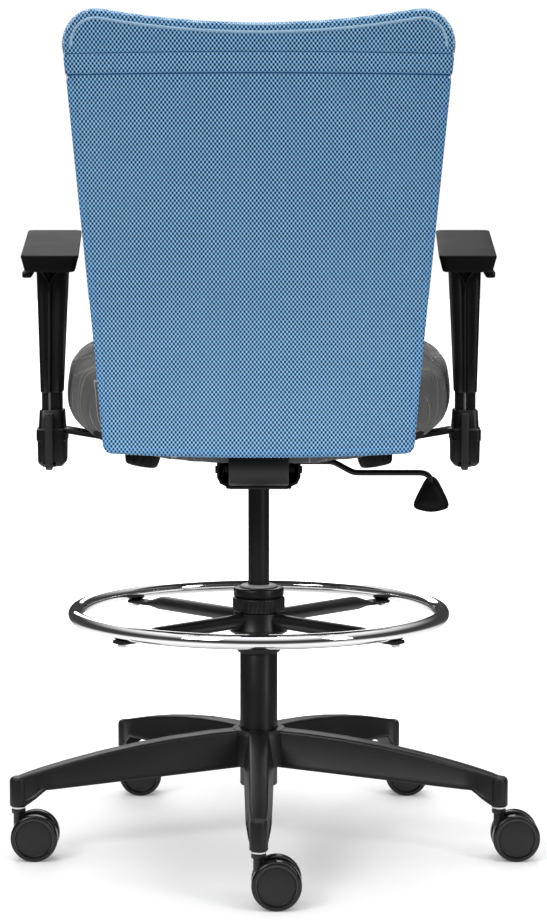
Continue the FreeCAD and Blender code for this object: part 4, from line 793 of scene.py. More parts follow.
def make_ring_hub():
    low = low_of("foot_ring_hub").z / MM
    turned_piece("ring_hub", (
        (25.1, low), (27.7, low), (28.5, low + 0.8), (28.8, low + 13), (29.6, low + 20), (33, low + 24.5),
        (38, low + 27), (39, low + 28.6), (39, low + 31), (38.2, low + 33), (35.8, low + 43),
        (34.4, low + 50),
        (34, low + 54.2), (29, low + 54.4), (29, low + 75.5), (25.1, low + 75.5)), "foot_ring", HUB,
        ("foot_ring_hub",), closed=True, steps=80)
    nut_low, nut_top = low_of("foot_ring_lock").z / MM, high_of("foot_ring_lock").z / MM
    nut = lathe([(r * MM, h * MM) for r, h in (
        (29.1, nut_low), (33.4, nut_low), (34.6, nut_low + 1.2), (34.9, nut_low + 2.4), (34.9, nut_top - 2.4),
        (34.6, nut_top - 1.2), (33.4, nut_top), (29.1, nut_top))], steps=144, closed=True)
    for vert in nut.verts:
        out = math.hypot(vert.co.x, vert.co.y)
        middle = abs(vert.co.z / MM - (nut_low + nut_top) / 2) < (nut_top - nut_low) / 2 - 1.8
        if out > 34 * MM and middle:
            turn = math.atan2(vert.co.y, vert.co.x) * 36
            press = 1 - 0.9 * MM * max(0.0, math.cos(turn)) / out
            vert.co.x, vert.co.y = vert.co.x * press, vert.co.y * press
    make_piece("lock_nut", nut, "foot_ring_lock", HUB, ("foot_ring_lock",), sharp=50)
    low, top = low_of("foot_ring_collar").z / MM, high_of("foot_ring_collar").z / MM
    turned_piece("ring_collar", (
        (25.1, low), (32.6, low), (33.5, low + 0.9), (33.5, top - 3), (33.1, top - 1.5), (32, top - 0.4),
        (30.4, top), (25.9, top),
        (25.1, top - 0.8)), "foot_ring", HUB, ("foot_ring_collar",), closed=True, steps=80)


ring_circle, ring_under = make_ring()
make_spokes(ring_circle, ring_under)
make_ring_hub()

# %% [markdown]
# Under the seat hangs the mechanism: a folded steel tray, open at the rear, where the upright
# swings on its pin. The tray is a box whose walls are thin, so it is made as a channel profile
# bridged along its length, its lower corners cut off, and its plates get a small bevel.

# %% Mechanism


def channel_ring(back, half, low, top, wall):
    cut = min(12 * MM, (top - low) * 0.4)
    outside = ((half - cut, low), (half - cut * 0.35, low + cut * 0.3), (half, low + cut))
    room = half - wall
    inside = ((room, low + cut), (room - cut * 0.35, low + wall + cut * 0.2), (room - cut, low + wall))
    right = outside + ((half, top), (half - wall, top)) + inside
    corners = right + tuple((-x, z) for x, z in reversed(right))
    return [Vector((x, back, z)) for x, z in corners]


def make_mechanism():
    low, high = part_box("mechanism_housing")
    half, top, floor = high.x, high.z, low.z + 8 * MM
    wall = 3 * MM
    rings = [channel_ring(y, half, z, top - 0.4 * MM, wall) for y, z in (
        (low.y, floor + 24 * MM), (low.y + 12 * MM, floor + 19 * MM), (low.y / 2, floor), (high.y, floor))]
    tray = loft(rings)
    nose = block((-half, low.y, floor + 24 * MM), (half, low.y + wall, top - 0.4 * MM))
    soften(nose, 0.8 * MM)
    socket = lathe((
        (9 * MM, low.z), (16.3 * MM, low.z), (17.5 * MM, low.z + 1.2 * MM), (17.5 * MM, top - 8 * MM),
        (9 * MM, top - 8 * MM)), steps=48, closed=True)
    reach = half - 15 * MM
    cover = block((-reach, 58 * MM, floor - 3.5 * MM), (reach, high.y + 1 * MM, floor + 2.5 * MM))
    soften(cover, 2 * MM)
    rivets = []
    for x in (-40, -22, 0, 22, 40):
        rows = ((0, 0), (2.4, 0), (2.4, 1.6), (1.6, 2.4), (0, 2.6))
        rivet = lathe([(radius * MM, rise * MM) for radius, rise in rows], steps=20)
        moved(rivet, turn=turn_about(ABOUT_X, -90))
        rivets.append(moved(rivet, (x * MM, high.y + 0.5 * MM, floor - 0.5 * MM)))
    make_piece("mechanism_tray", together(tray, nose, socket, cover, *rivets), "seat", MECHANISM,
               ("mechanism_housing",))
    side = turn_about(ABOUT_Y, 90)
    pin = lathe(((0, 0), (4.2, 0), (5, 0.8), (5, 113.2), (4.2, 114), (0, 114)), steps=32)
    bmesh.ops.scale(pin, vec=(MM, MM, MM), verts=pin.verts)
    moved(pin, turn=side)
    moved(pin, (low_of("recline_pin").x, middle_of("recline_pin").y, middle_of("recline_pin").z))
    make_piece("pivot_pin", pin, "seat", MECHANISM, ("recline_pin",))
    plate = block(low_of("seat_plate"), high_of("seat_plate"))
    make_piece("top_plate", soften(plate, 0.8 * MM), "seat", MECHANISM, ("seat_plate",))


make_mechanism()

# %% [markdown]
# The lift lever is a bent rod with a soft moulded paddle hung under its end. The paddle's
# outline is a bell with a domed face: one outline, scaled and shifted in steps, is bridged
# into a lens.

# %% Lift lever


def bell(scale, depth):
    """The paddle's outline, shrunk towards its middle, at a depth."""
    half, tall = half_of("lift_paddle").x, 2 * half_of("lift_paddle").z
    low = low_of("lift_paddle").z
    rows = ((0.0, 1.0), (0.15, 0.985), (0.30, 0.93), (0.44, 0.83), (0.66, 0.62), (0.84, 0.44), (0.96, 0.30),
            (1.0, 0.20), (0.95, 0.12), (0.80, 0.075), (0.55, 0.04), (0.28, 0.01), (0.0, 0.0))
    side = [(x, z) for x, z in rows]
    points = side + [(-x, z) for x, z in reversed(side[1:-1])]
    middle = Vector((middle_of("lift_paddle").x, depth, low + tall * 0.42))
    return [middle + Vector((x * half * scale, 0, (z - 0.42) * tall * scale)) for x, z in points]


def make_lever():
    y, high = middle_of("lift_lever").y, high_of("lift_lever").z - 4 * MM
    route = [(-40, 0), (-70, 0), (-92, 0), (-99, -0.3), (-108, -4.6), (-118, -10.4), (-127, -14.7),
             (-136, -15),
             (-170, -15), (-205, -15), (-218, -15), (-225.5, -17.2), (-229.5, -22), (-231, -28)]
    points = [(x * MM, y, high + z * MM) for x, z in route]
    make_piece("lever_rod", rod(points, 4 * MM, 3), "lift_lever", LEVER, ("lift_lever",), sharp=50)
    half = half_of("lift_paddle").y
    rings = [bell(scale, y + depth * half) for scale, depth in (
        (0.55, -1.0), (0.84, -0.92), (0.965, -0.62), (1.0, -0.12), (0.985, 0.32), (0.93, 0.50), (0.90, 0.46),
        (0.62, 0.80), (0.30, 0.97))]
    make_piece("lever_paddle", loft(rings), "lift_lever", CONTROL, ("lift_paddle",), sharp=60)


make_lever()

# %% [markdown]
# Every layer of the back follows one curved sheet: hollow from side to side, and bent back above
# the waist. `sheet_at` gives the rear face at a place, and an outline with rounded crowns gives
# the edge. All the layers are drawn from these two.

# %% The back's curved sheet and its outline
BACK_LOW, BACK_TOP, BELLY, DIP, SAG = 543.0, 1075.5, 3.0, 17.5, 36.0
HALF_TOP, WIDE_HIGH, CROWN, LOW_CORNER = 232.0, 1020.0, 46.0, 12.0


def sheet_back(x, z):
    """How far behind the column's axis the mesh stands, all in millimetres."""
    z = max(z, BACK_LOW)
    if z < 690:
        middle = 245 + 22 * ((690 - z) / (690 - BACK_LOW)) ** 1.6
    else:
        middle = 245 + 87 * ((z - 690) / (BACK_TOP - 690)) ** 1.55
    return middle - SAG * (x / HALF_TOP) ** 2


def sheet_at(x, z, depth=0.0):
    return Vector((x, sheet_back(x, z) - depth, z)) * MM


def quad_through(points, share):
    """A point of the parabola through three points, for a share of the way along it."""
    (a, b, c), mid = points, 0.5
    l0 = (share - mid) * (share - 1) / (mid * 1)
    l1 = share * (share - 1) / (mid * (mid - 1))
    l2 = share * (share - mid) / (1 - mid)
    return Vector((a[0] * l0 + b[0] * l1 + c[0] * l2, a[1] * l0 + b[1] * l1 + c[1] * l2))


def arc_through(a, b, c, share):
    """A point of the circle through three points."""
    a, b, c = Vector(a), Vector(b), Vector(c)
    d = 2 * (a.x * (b.y - c.y) + b.x * (c.y - a.y) + c.x * (a.y - b.y))
    aa, bb, cc = a.length_squared, b.length_squared, c.length_squared
    ux = (aa * (b.y - c.y) + bb * (c.y - a.y) + cc * (a.y - b.y)) / d
    uy = (aa * (c.x - b.x) + bb * (a.x - c.x) + cc * (b.x - a.x)) / d
    centre = Vector((ux, uy))
    start, middle, end = (math.atan2(p.y - uy, p.x - ux) for p in (a, b, c))
    turn = (end - start + math.pi) % math.tau - math.pi
    if (middle - start) * turn < 0:
        turn -= math.copysign(math.tau, turn)
    angle = start + turn * share
    return centre + Vector((math.cos(angle), math.sin(angle))) * (a - centre).length


def right_edge(steps_side, steps_crown):
    """The right half of the outline's side and crown, from the low corner to the top arc."""
    low, bend = BACK_LOW, LOW_CORNER
    corner = [arc_through((190 - bend, low), (190 - bend * 0.2, low + bend * 0.22),
                          (190 + bend * 0.12, low + bend),
                          i / 5) for i in range(5)]
    points = ((190 + bend * 0.12, low + bend), (215.0, 804.0), (HALF_TOP, WIDE_HIGH))
    side = [quad_through(points, i / steps_side) for i in range(steps_side)]
    bulge = (HALF_TOP - CROWN * 0.22, BACK_TOP - CROWN * 0.23)
    crown = [arc_through((HALF_TOP, WIDE_HIGH), bulge, (HALF_TOP - CROWN, BACK_TOP), i / steps_crown)
             for i in range(steps_crown)]
    return corner, side, crown


def back_edges(columns, rows):
    """Four boundary curves of the sheet with columns + 1 and rows + 1 points, bottom, top, left, right."""
    corner, side, crown = right_edge(40, 14)
    bottom = [arc_through((-178, BACK_LOW), (0, BACK_LOW - BELLY),
                          (178, BACK_LOW), i / 40) for i in range(41)]
    reach = HALF_TOP - CROWN
    top = [arc_through((reach, BACK_TOP), (0, BACK_TOP - DIP), (-reach, BACK_TOP), i / 40) for i in range(41)]
    half_crown = len(crown) // 2
    flip = lambda run: [Vector((-p.x, p.y)) for p in reversed(run)]
    bottom = flip(corner[:3])[:-1] + bottom + corner[1:3]
    right = corner[2:] + side + crown[:half_crown + 1]
    upper = crown[half_crown:]
    top = [Vector((-p.x, p.y)) for p in upper] + top[::-1] + upper[::-1]
    left = [Vector((-p.x, p.y)) for p in right]
    return [even(bottom, columns), even(top, columns), even(left, rows), even(right, rows)]


def even(run, count):
    """The same curve in count equal steps."""
    lengths = [0.0]
    for a, b in zip(run, run[1:]):
        lengths.append(lengths[-1] + (b - a).length)
    points, place = [], 0
    for step in range(count + 1):
        want = lengths[-1] * step / count
        while place < len(run) - 2 and lengths[place + 1] < want:
            place += 1
        span = lengths[place + 1] - lengths[place]
        share = (want - lengths[place]) / span if span else 0.0
        points.append(run[place].lerp(run[place + 1], min(max(share, 0.0), 1.0)))
    return points


def inset_loop(columns, rows):
    """The whole edge as one closed run, with the inward direction at each point."""
    bottom, top, left, right = back_edges(columns, rows)
    run = bottom[:-1] + right[:-1] + list(reversed(top))[:-1] + list(reversed(left))[:-1]
    inward = []
    for i in range(len(run)):
        ahead, behind = run[(i + 2) % len(run)], run[i - 2]
        along = (ahead - behind).normalized()
        inward.append(Vector((-along.y, along.x)))
    return run, inward


def coons(bottom, top, left, right, columns, rows):
    """Inner points of a patch from its four edges."""
    grid = []
    for j in range(rows + 1):
        v = j / rows
        line = []
        for i in range(columns + 1):
            u = i / columns
            blend = bottom[i] * (1 - v) + top[i] * v + left[j] * (1 - u) + right[j] * u
            blend = blend - (bottom[0] * (1 - u) * (1 - v) + bottom[-1] * u * (1 - v)
                             + top[0] * (1 - u) * v + top[-1] * u * v)
            line.append(blend)
        grid.append(line)
    return grid


def sheet_panel(columns, rows, inset, depth, rim):
    """A panel on the sheet, whose edge then runs through (inset, depth) steps of a rim."""
    run, inward = inset_loop(columns, rows)
    shrunk = [p + n * inset for p, n in zip(run, inward)]
    bottom = shrunk[:columns + 1]
    right = shrunk[columns:columns + rows + 1]
    top = list(reversed(shrunk[columns + rows:2 * columns + rows + 1]))
    left = list(reversed(shrunk[2 * columns + rows:] + shrunk[:1]))
    grid = coons(bottom, top, left, right, columns, rows)
    bm = bmesh.new()
    mark = bm.verts.layers.int.new("edge")
    bmesh.ops.create_grid(bm, x_segments=columns, y_segments=rows, size=0.5)
    flat = bm.verts.layers.float_vector.new("flat")
    for vert in bm.verts:
        i, j = round((vert.co.x + 0.5) * columns), round((vert.co.y + 0.5) * rows)
        place = grid[j][i]
        vert.co = sheet_at(place.x, place.y, depth)
        vert[flat] = (place.x, place.y, 0)
        if j == 0:
            vert[mark] = i + 1
        elif i == columns:
            vert[mark] = columns + j + 1
        elif j == rows:
            vert[mark] = 2 * columns + rows - i + 1
        elif i == 0:
            vert[mark] = 2 * columns + 2 * rows - j + 1
    edges = [e for e in bm.edges if e.is_boundary]
    travel, before = 0.0, (inset, depth)
    for step_inset, step_depth in rim:
        travel += math.hypot(step_inset - before[0], step_depth - before[1])
        before = (step_inset, step_depth)
        made = bmesh.ops.extrude_edge_only(bm, edges=edges)["geom"]
        edges = [g for g in made if isinstance(g, bmesh.types.BMEdge) and g.is_boundary]
        for vert in (g for g in made if isinstance(g, bmesh.types.BMVert)):
            index = vert[mark] - 1
            place = run[index] + inward[index] * step_inset
            vert.co = sheet_at(place.x, place.y, step_depth)
            out = run[index] + inward[index] * (inset - travel)
            vert[flat] = (out.x, out.y, 0)
    return bm, flat


def cloth_uv(bm, flat):
    """Write the flat place of each corner, in metres, as the UV map."""
    uv = bm.loops.layers.uv.new("cloth")
    for face in bm.faces:
        for corner in face.loops:
            corner[uv].uv = (corner.vert[flat].x * MM, corner.vert[flat].y * MM)


# %% [markdown]
# The cover is one sheet. It lies on the rear of the frame, rolls over the frame's edge and
# turns in behind it. A band is sewn across near the top, and a narrow binding runs along the
# sides and the lower edge. Both are strips of the same sheet, lifted a little from it.

# %% Mesh cover, hem and binding
COVER_RIM = ((4.4, 0.5), (2.4, 1.6), (1.0, 3.2), (0.25, 5.2), (0.0, 7.6), (0.3, 10.2), (1.4, 12.2),
             (3.6, 13.4),
             (8.0, 13.8), (16.0, 13.9))


def make_cover():
    bm, flat = sheet_panel(72, 84, 7.0, 0.0, COVER_RIM)
    cloth_uv(bm, flat)
    piece = make_piece("mesh_cover_cloth", bm, "back", MESH, ("mesh_cover",), sharp=180)
    return piece


def make_hem():
    """The sewn band: a flat tube of cloth across the back, its ends wrapped over the edges."""
    low, top = 1001.0, 1024.0
    rings = []
    profile = [(0.0, -0.2), (0.0, -0.75), (0.08, -1.15), (0.3, -1.3), (0.7, -1.3), (0.92, -1.15),
               (1.0, -0.75), (1.0, -0.2),
               (0.5, 0.1)]
    count = 64
    for i in range(-4, count + 5):
        share = min(max(i / count, 0.0), 1.0)
        past = max(-i, i - count, 0)
        ring = []
        for along, lift in profile:
            z = low + (top - low) * along
            half = side_half(z)
            x = (2 * share - 1) * half
            depth = lift
            if past:
                wrap = (0, 2.2, 5.0, 8.0, 11.5)[past]
                x = math.copysign(half - lift * min(past / 2, 1) * 1.0, 2 * share - 1)
                depth = wrap
            elif abs(x) > half - 7:
                near = (abs(x) - (half - 7)) / 7
                depth = lift + 1.8 * near ** 2
            ring.append(sheet_at(x, z, depth))
        rings.append(ring)
    make_piece("mesh_hem_band", with_uv(loft(rings)), "back", HEM, ("mesh_hem",), sharp=60)
    # Painted shadow: thin dark strips under and over the band stand in for the shade along its edges.
    shadow_strips = []
    for z, wide in ((low - 0.9, 0.9), (top + 0.5, 0.55)):
        half, rings = side_half(z) - 1.2, []
        for i in range(65):
            x = (2 * i / 64 - 1) * half
            rings.append([sheet_at(x, z + a * wide, 0.1 - b)
                          for a, b in ((-1, 0), (-0.5, 0.45), (0.5, 0.45), (1, 0))])
        shadow_strips.append(loft(rings))
    make_piece("mesh_hem_shadow_strips", with_uv(together(*shadow_strips)), "back", HEM_PAINTED_SHADOW, (), sharp=60)


def side_half(z):
    """Half the back's width at a height between the low and the upper corners."""
    points = ((190 + LOW_CORNER * 0.12, BACK_LOW + LOW_CORNER), (215.0, 804.0), (HALF_TOP, WIDE_HIGH))
    low, high = 0.0, 1.0
    for _ in range(24):
        middle = (low + high) / 2
        if quad_through(points, middle).y < z:
            low = middle
        else:
            high = middle
    return quad_through(points, min(low, 1.0)).x - max(0.0, (z - 1020) * 0.02)


def with_uv(bm):
    """UV straight from where each corner stands, seen from the rear."""
    uv = bm.loops.layers.uv.new("cloth")
    for face in bm.faces:
        for corner in face.loops:
            corner[uv].uv = (corner.vert.co.x, corner.vert.co.z)
    return bm


def make_binding():
    """A narrow tape sewn over the edge, along both sides and the lower edge."""
    run, inward = inset_loop(72, 84)
    pairs = [(p, n) for p, n in zip(run, inward) if p.y < 1000.0]
    start = max(range(len(pairs)), key=lambda i: (pairs[i][0] - pairs[i - 1][0]).length)
    pairs = pairs[start:] + pairs[:start]
    section = ((9.0, -0.1), (8.9, -0.5), (8.3, -0.85), (6.0, -0.75), (4.0, -0.35), (2.0, 0.7),
               (0.4, 2.6), (-0.35, 4.9),
               (-0.6, 7.6), (-0.3, 10.4), (0.0, 10.4), (0.4, 7.6), (1.3, 4.0), (3.2, 1.4), (6.0, 0.4))
    rings = [[sheet_at(p.x + n.x * i, p.y + n.y * i, d) for i, d in section] for p, n in pairs]
    make_piece("mesh_edge_binding", with_uv(loft(rings)), "back", BINDING, ("mesh_binding",), sharp=60)




def make_inner_face():
    """The spacer mesh's second face, a little in front of the first, coloured a darker navy than the first as
    painted shade.
    """
    bm, flat = sheet_panel(40, 48, 7.5, 1.7, ((5.0, 1.9), (3.4, 2.4)))
    cloth_uv(bm, flat)
    make_piece("mesh_inner_face_painted_shade", bm, "back", INNER_MESH_PAINTED_SHADE, (), sharp=180)


def make_piping():
    """A thin sewn ridge that follows the crown, a little inside the edge. Its pale blue is painted highlight
    for the light along the frame's rounded top.
    """
    run, inward = inset_loop(72, 84)
    crown = [(p, n) for p, n in zip(run, inward) if p.y > 1030.0]
    rings = []
    for k, (p, n) in enumerate(crown):
        thin = 0.35 if k in (0, len(crown) - 1) else 1.0
        rings.append([sheet_at(p.x + n.x * (11.5 + a), p.y + n.y * (11.5 + a), 0.2 - b * thin) for a, b in (
            (-1.7, 0.0), (-1.2, 0.7), (-0.4, 1.25), (0.4, 1.25), (1.2, 0.7), (1.7, 0.0))])
    make_piece("mesh_crown_piping_painted_highlight", with_uv(loft(rings)), "back", PIPING_PAINTED_HIGHLIGHT, (), sharp=60)


cover = make_cover()
make_inner_face()
make_piping()
make_hem()
make_binding()

# %% [markdown]
# Behind the mesh is a moulded frame that follows the edge, a pale lower panel that the upright
# is screwed to, and the cushion that the sitter leans on.

# %% Back frame, panel and upright


def make_frame():
    run, inward = inset_loop(72, 84)
    section = ((2.6, 7.0), (2.9, 4.2), (5.2, 2.5), (9.0, 2.3), (19.0, 2.3), (21.2, 3.4), (21.3, 10.4),
               (19.6, 11.6),
               (5.4, 11.6), (3.2, 10.6))
    rings = [[sheet_at(p.x + n.x * i, p.y + n.y * i, d) for i, d in section] for p, n in zip(run, inward)]
    bm = loft(rings + rings[:1], cap=False)
    bmesh.ops.remove_doubles(bm, verts=bm.verts, dist=1e-5)
    make_piece("back_edge_frame", bm, "back", FRAME, ("back_frame",), sharp=50)


def make_panel():
    half, low, top = 139.0, 549.0, 629.0
    rings = []
    for i in range(33):
        x = -half + 2 * half * i / 32
        near = max(0.0, abs(x) - (half - 5)) / 5
        pinch = 1.2 * near ** 2
        section = ((low + 1.4, 12.0), (low, 13.2), (low, 15.6), (low + 1.4, 16.7), (low + 22, 16.7),
                   (low + 40, 16.7),
                   (low + 60, 16.7), (top - 1.4, 16.7), (top, 15.6), (top, 13.2), (top - 1.4, 12.0),
                   (top - 30, 12.0),
                   (low + 30, 12.0))
        rings.append([sheet_at(x, z + (pinch if z < low + 2 else -pinch if z > top - 2 else 0), d)
                      for z, d in section])
    make_piece("lower_back_panel", loft(rings), "back", PANEL, ("back_plate",), sharp=50)


def make_upright():
    """The flat bar: one section carried along the route from the pin up the panel."""
    pivot, level = middle_of("recline_pin").y / MM, middle_of("recline_pin").z / MM
    half, thick = half_of("back_upright").x / MM, 7.0
    flare = SAG * (half / HALF_TOP) ** 2
    depth = 11.7 + 5 + 0.5
    rear = lambda z: sheet_back(0, z) - depth - flare
    low_point, top_point = Vector((rear(549), 549)), Vector((rear(622), 622))
    lean = (top_point - low_point).normalized()
    out = Vector((lean.y, -lean.x))
    under, bend_out = level - thick / 2, 24 + thick
    along = (under + bend_out + out.y * bend_out - low_point.y) / lean.y
    centre = low_point + lean * along - out * bend_out
    route = []
    for y in (pivot + 9.2, pivot + 30, (pivot + centre.x) / 2, centre.x - 12):
        route.append((Vector((y, level)), Vector((0, 1))))
    span = math.atan2(out.y, out.x) + math.pi / 2
    for i in range(13):
        angle = -math.pi / 2 + span * i / 12
        ray = Vector((math.cos(angle), math.sin(angle)))
        route.append((centre + ray * (bend_out - thick / 2), -ray))
    for share in (0.25, 0.5, 0.75, 0.96, 1.0):
        start = centre + out * (bend_out - thick / 2)
        end = top_point - out * thick / 2
        route.append((start.lerp(end, share), -out))
    rings = []
    for i, (spot, normal) in enumerate(route):
        narrow = 3.0 if i == len(route) - 1 else 0.0
        ring = []
        for x, n in round_corners(half - narrow, thick / 2, 1.6, 3):
            place = spot + normal * n
            ring.append(Vector((x, place.x, place.y)) * MM)
        rings.append(ring)
    bar = loft(rings)
    barrel = lathe([(r * MM, z * MM) for r, z in (
        (5.05, -34), (8.6, -34), (9.5, -33.1), (9.5, 33.1), (8.6, 34), (5.05, 34))], steps=48, closed=True)
    moved(barrel, turn=turn_about(ABOUT_Y, 90))
    moved(barrel, (0, pivot * MM, level * MM))
    heads = []
    for x in (-22, 22):
        for z in (568, 606):
            head = lathe([(r * MM, h * MM) for r, h in ((0, 0), (5.5, 0), (5.5, 2.2), (4.2, 3.1),
                          (2.4, 3.1), (2.2, 1.4),
                                                       (0, 1.4))], steps=28)
            moved(head, turn=turn_about(ABOUT_X, -90))
            face = sheet_back(x, z) - 11.8 + 0.2
            heads.append(moved(head, Vector((x, face - 1.4, z)) * MM))
    make_piece("back_bar", together(bar, barrel), "back", MECHANISM, ("back_upright",), sharp=40)
    make_piece("panel_screws", together(*heads), "back", SCREW_STEEL, ("back_screws",))


make_frame()
make_panel()
make_upright()

# %% [markdown]
# Foam under stretched fabric bulges between its edges. A cushion starts as a slightly smaller
# closed shape, is remeshed to even squares and is blown up a little by a cloth simulation, with
# a cap on how far any point may go.

# %% Blow up a cushion
SIM_FRAMES, PRESSURE = 20, 4.0


def as_object(name, bm):
    bmesh.ops.recalc_face_normals(bm, faces=bm.faces)
    mesh = bpy.data.meshes.new(name)
    bm.to_mesh(mesh)
    bm.free()
    piece = bpy.data.objects.new(name, mesh)
    bpy.context.scene.collection.objects.link(piece)
    return piece


def evaluated_copy(piece):
    graph = bpy.context.evaluated_depsgraph_get()
    return bpy.data.meshes.new_from_object(piece.evaluated_get(graph))


def blown(bm, voxel, cap):
    """The bmesh after a remesh and a short cloth simulation, no point further than cap."""
    piece = as_object("cushion_work", bm)
    remesh = piece.modifiers.new("even", "REMESH")
    remesh.mode, remesh.voxel_size = "VOXEL", voxel
    mesh = evaluated_copy(piece)
    piece.modifiers.clear()
    piece.data = mesh
    start = [v.co.copy() for v in mesh.vertices]
    cloth = piece.modifiers.new("cloth", "CLOTH")
    cloth.settings.use_pressure = True
    cloth.settings.uniform_pressure_force = PRESSURE
    cloth.settings.effector_weights.gravity = 0
    cloth.settings.quality = 4
    cloth.settings.mass = 0.2
    cloth.settings.tension_stiffness = cloth.settings.compression_stiffness = 20
    cloth.collision_settings.use_collision = False
    cloth.point_cache.frame_start, cloth.point_cache.frame_end = 1, SIM_FRAMES
    scene = bpy.context.scene
    for step in range(1, SIM_FRAMES + 1):
        scene.frame_set(step)
    blown_mesh = evaluated_copy(piece)
    piece.modifiers.clear()
    for vert, first, last in zip(mesh.vertices, start, blown_mesh.vertices):
        step = last.co - first
        vert.co = first + step * min(1.0, cap / max(step.length, 1e-9))
    scene.frame_set(1)
    result = bmesh.new()
    result.from_mesh(mesh)
    bpy.data.objects.remove(piece)
    return result


# %% [markdown]
# The seat is wide and rounded, fuller at its sides than below. Sections across it are joined
# into the foam's shape. After the simulation its underside is pressed up where the pan and the
# two arm bars go, so that the fabric ends at the pan.

# %% Seat cushion
BAR_SLOPE, BAR_LOW, BAR_THICK, KNOB_OUT = 9.7, 535.6, 6.4, 150
SEAT_ROWS = ((0.0, 0.0), (0.36, 0.0), (0.72, 0.10), (0.93, 0.27), (1.0, 0.48), (0.992, 0.82), (0.962, 0.955),
             (0.86, 1.0), (0.40, 1.012), (0.0, 1.016))
SEAT_STATIONS = ((0.000, 0.84, 46, 40), (0.030, 0.925, 18, 12), (0.140, 0.985, 2, 0), (0.380, 1.000, 0, 0),
                 (0.620, 0.968, 0, 0), (0.800, 0.905, 0, 0), (0.920, 0.800, 0, 1), (0.975, 0.720, 2, 8),
                 (1.000, 0.640, 12, 26))


def smooth_run(rows, count, wrap=False):
    """More rows on a Catmull-Rom curve through a few."""
    total = len(rows) if wrap else len(rows) - 1
    result = []
    for step in range(count if wrap else count + 1):
        place = step * total / count
        i = min(int(place), total - 1)
        t = place - i
        pick = (lambda k: rows[k % len(rows)]) if wrap else (lambda k: rows[min(max(k, 0), len(rows) - 1)])
        a, b, c, d = pick(i - 1), pick(i), pick(i + 1), pick(i + 2)
        result.append(tuple(
            0.5 * (2 * q + (r - p) * t + (2 * p - 5 * q + 4 * r - s) * t * t + (3 * q - p - 3 * r + s) * t ** 3)
            for p, q, r, s in zip(a, b, c, d)))
    return result


def seat_ring(back, half, low, top, shrink):
    tall = top - low
    right = [(half * x, low + z * tall) for x, z in SEAT_ROWS]
    section = right + [(-x, z) for x, z in reversed(right[1:-1])]
    ring = []
    middle = (low + top) / 2
    for x, z in smooth_run(section, 72, wrap=True):
        raised = middle + (z - middle) * (1 - 2 * shrink / tall)
        ring.append(Vector((x * (1 - shrink / max(half, 1)), back, raised)) * MM)
    return ring


def make_seat():
    low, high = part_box("seat_cushion")
    shrink = 2.5
    spread = 2 * shrink
    half, under = high.x / MM - 1.5 + 1.6 * spread, low.z / MM + spread
    front, back = low.y / MM - spread, high.y / MM + spread
    stations = []
    for share, width, rise, drop in smooth_run(SEAT_STATIONS, 40):
        top = 666 - 25 * max(0.0, share - 0.12) / 0.80 if share < 0.92 else 641
        along = front + shrink + (back - front - 2 * shrink) * share
        stations.append((along, half * width, under + rise, top - drop))
    rings = [seat_ring(*station, shrink) for station in stations]
    for end in (0, -1):
        centre = sum(rings[end], Vector()) / len(rings[end])
        for inward in (0.93, 0.8, 0.5):
            out = Vector((0, (-1.6 if end == 0 else 1.6) * MM * (1 - inward) ** 0.5, 0))
            ring = [centre.lerp(p, inward) + out
                    for p in rings[end]]
            rings.insert(0, ring) if end == 0 else rings.append(ring)
    bm = blown(loft(rings), 6 * MM, 9 * MM)
    pan_low, pan_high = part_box("seat_pan")
    slope = math.tan(math.radians(BAR_SLOPE))
    arm_y = middle_of("arm_bar_left").y
    for vert in bm.verts:
        x, y, z = vert.co
        rise = max(0.0, abs(x) - 60 * MM) * slope
        if abs(x) < pan_high.x - 10 * MM and pan_low.y + 10 * MM < y < pan_high.y - 10 * MM:
            floor = pan_low.z + rise + 1.5 * MM
            if z < floor:
                vert.co.z = floor
        if abs(y - arm_y) < 31 * MM and abs(x) < 0.262:
            floor = (BAR_LOW + BAR_THICK + 1.6) * MM + (abs(x) - KNOB_OUT * MM) * slope + 1.5 * MM
            if z < floor:
                vert.co.z = floor
    bmesh.ops.smooth_vert(bm, verts=[v for v in bm.verts if v.co.z > 575 * MM], factor=0.5, use_axis_x=True,
                          use_axis_y=True, use_axis_z=True)
    girth_uv(bm, 0.5 * (667 + 645) * MM)
    piece = make_piece("seat_cushion_foam", bm, "seat", SEAT_FABRIC, ("seat_cushion",), sharp=180, levels=1)


def girth_uv(bm, top):
    """Unroll the fabric: along the surface from the middle of the top, in metres."""
    uv = bm.loops.layers.uv.new("cloth")
    bm.normal_update()
    place = {}
    for vert in bm.verts:
        drop = max(0.0, top - vert.co.z)
        nx, ny = vert.normal.x ** 2, vert.normal.y ** 2
        side = nx / max(nx + ny, 1e-6)
        place[vert] = (vert.co.x + math.copysign(drop * side, vert.co.x),
                       vert.co.y + math.copysign(drop * (1 - side), vert.co.y))
    for face in bm.faces:
        for corner in face.loops:
            corner[uv].uv = place[corner.vert]


make_seat()

# %% [markdown]
# The back cushion is a flat pad of foam in the same fabric. It starts as a panel on the curved
# sheet with a rounded rim and a second face, and swells a little in the simulation.

# %% Back cushion


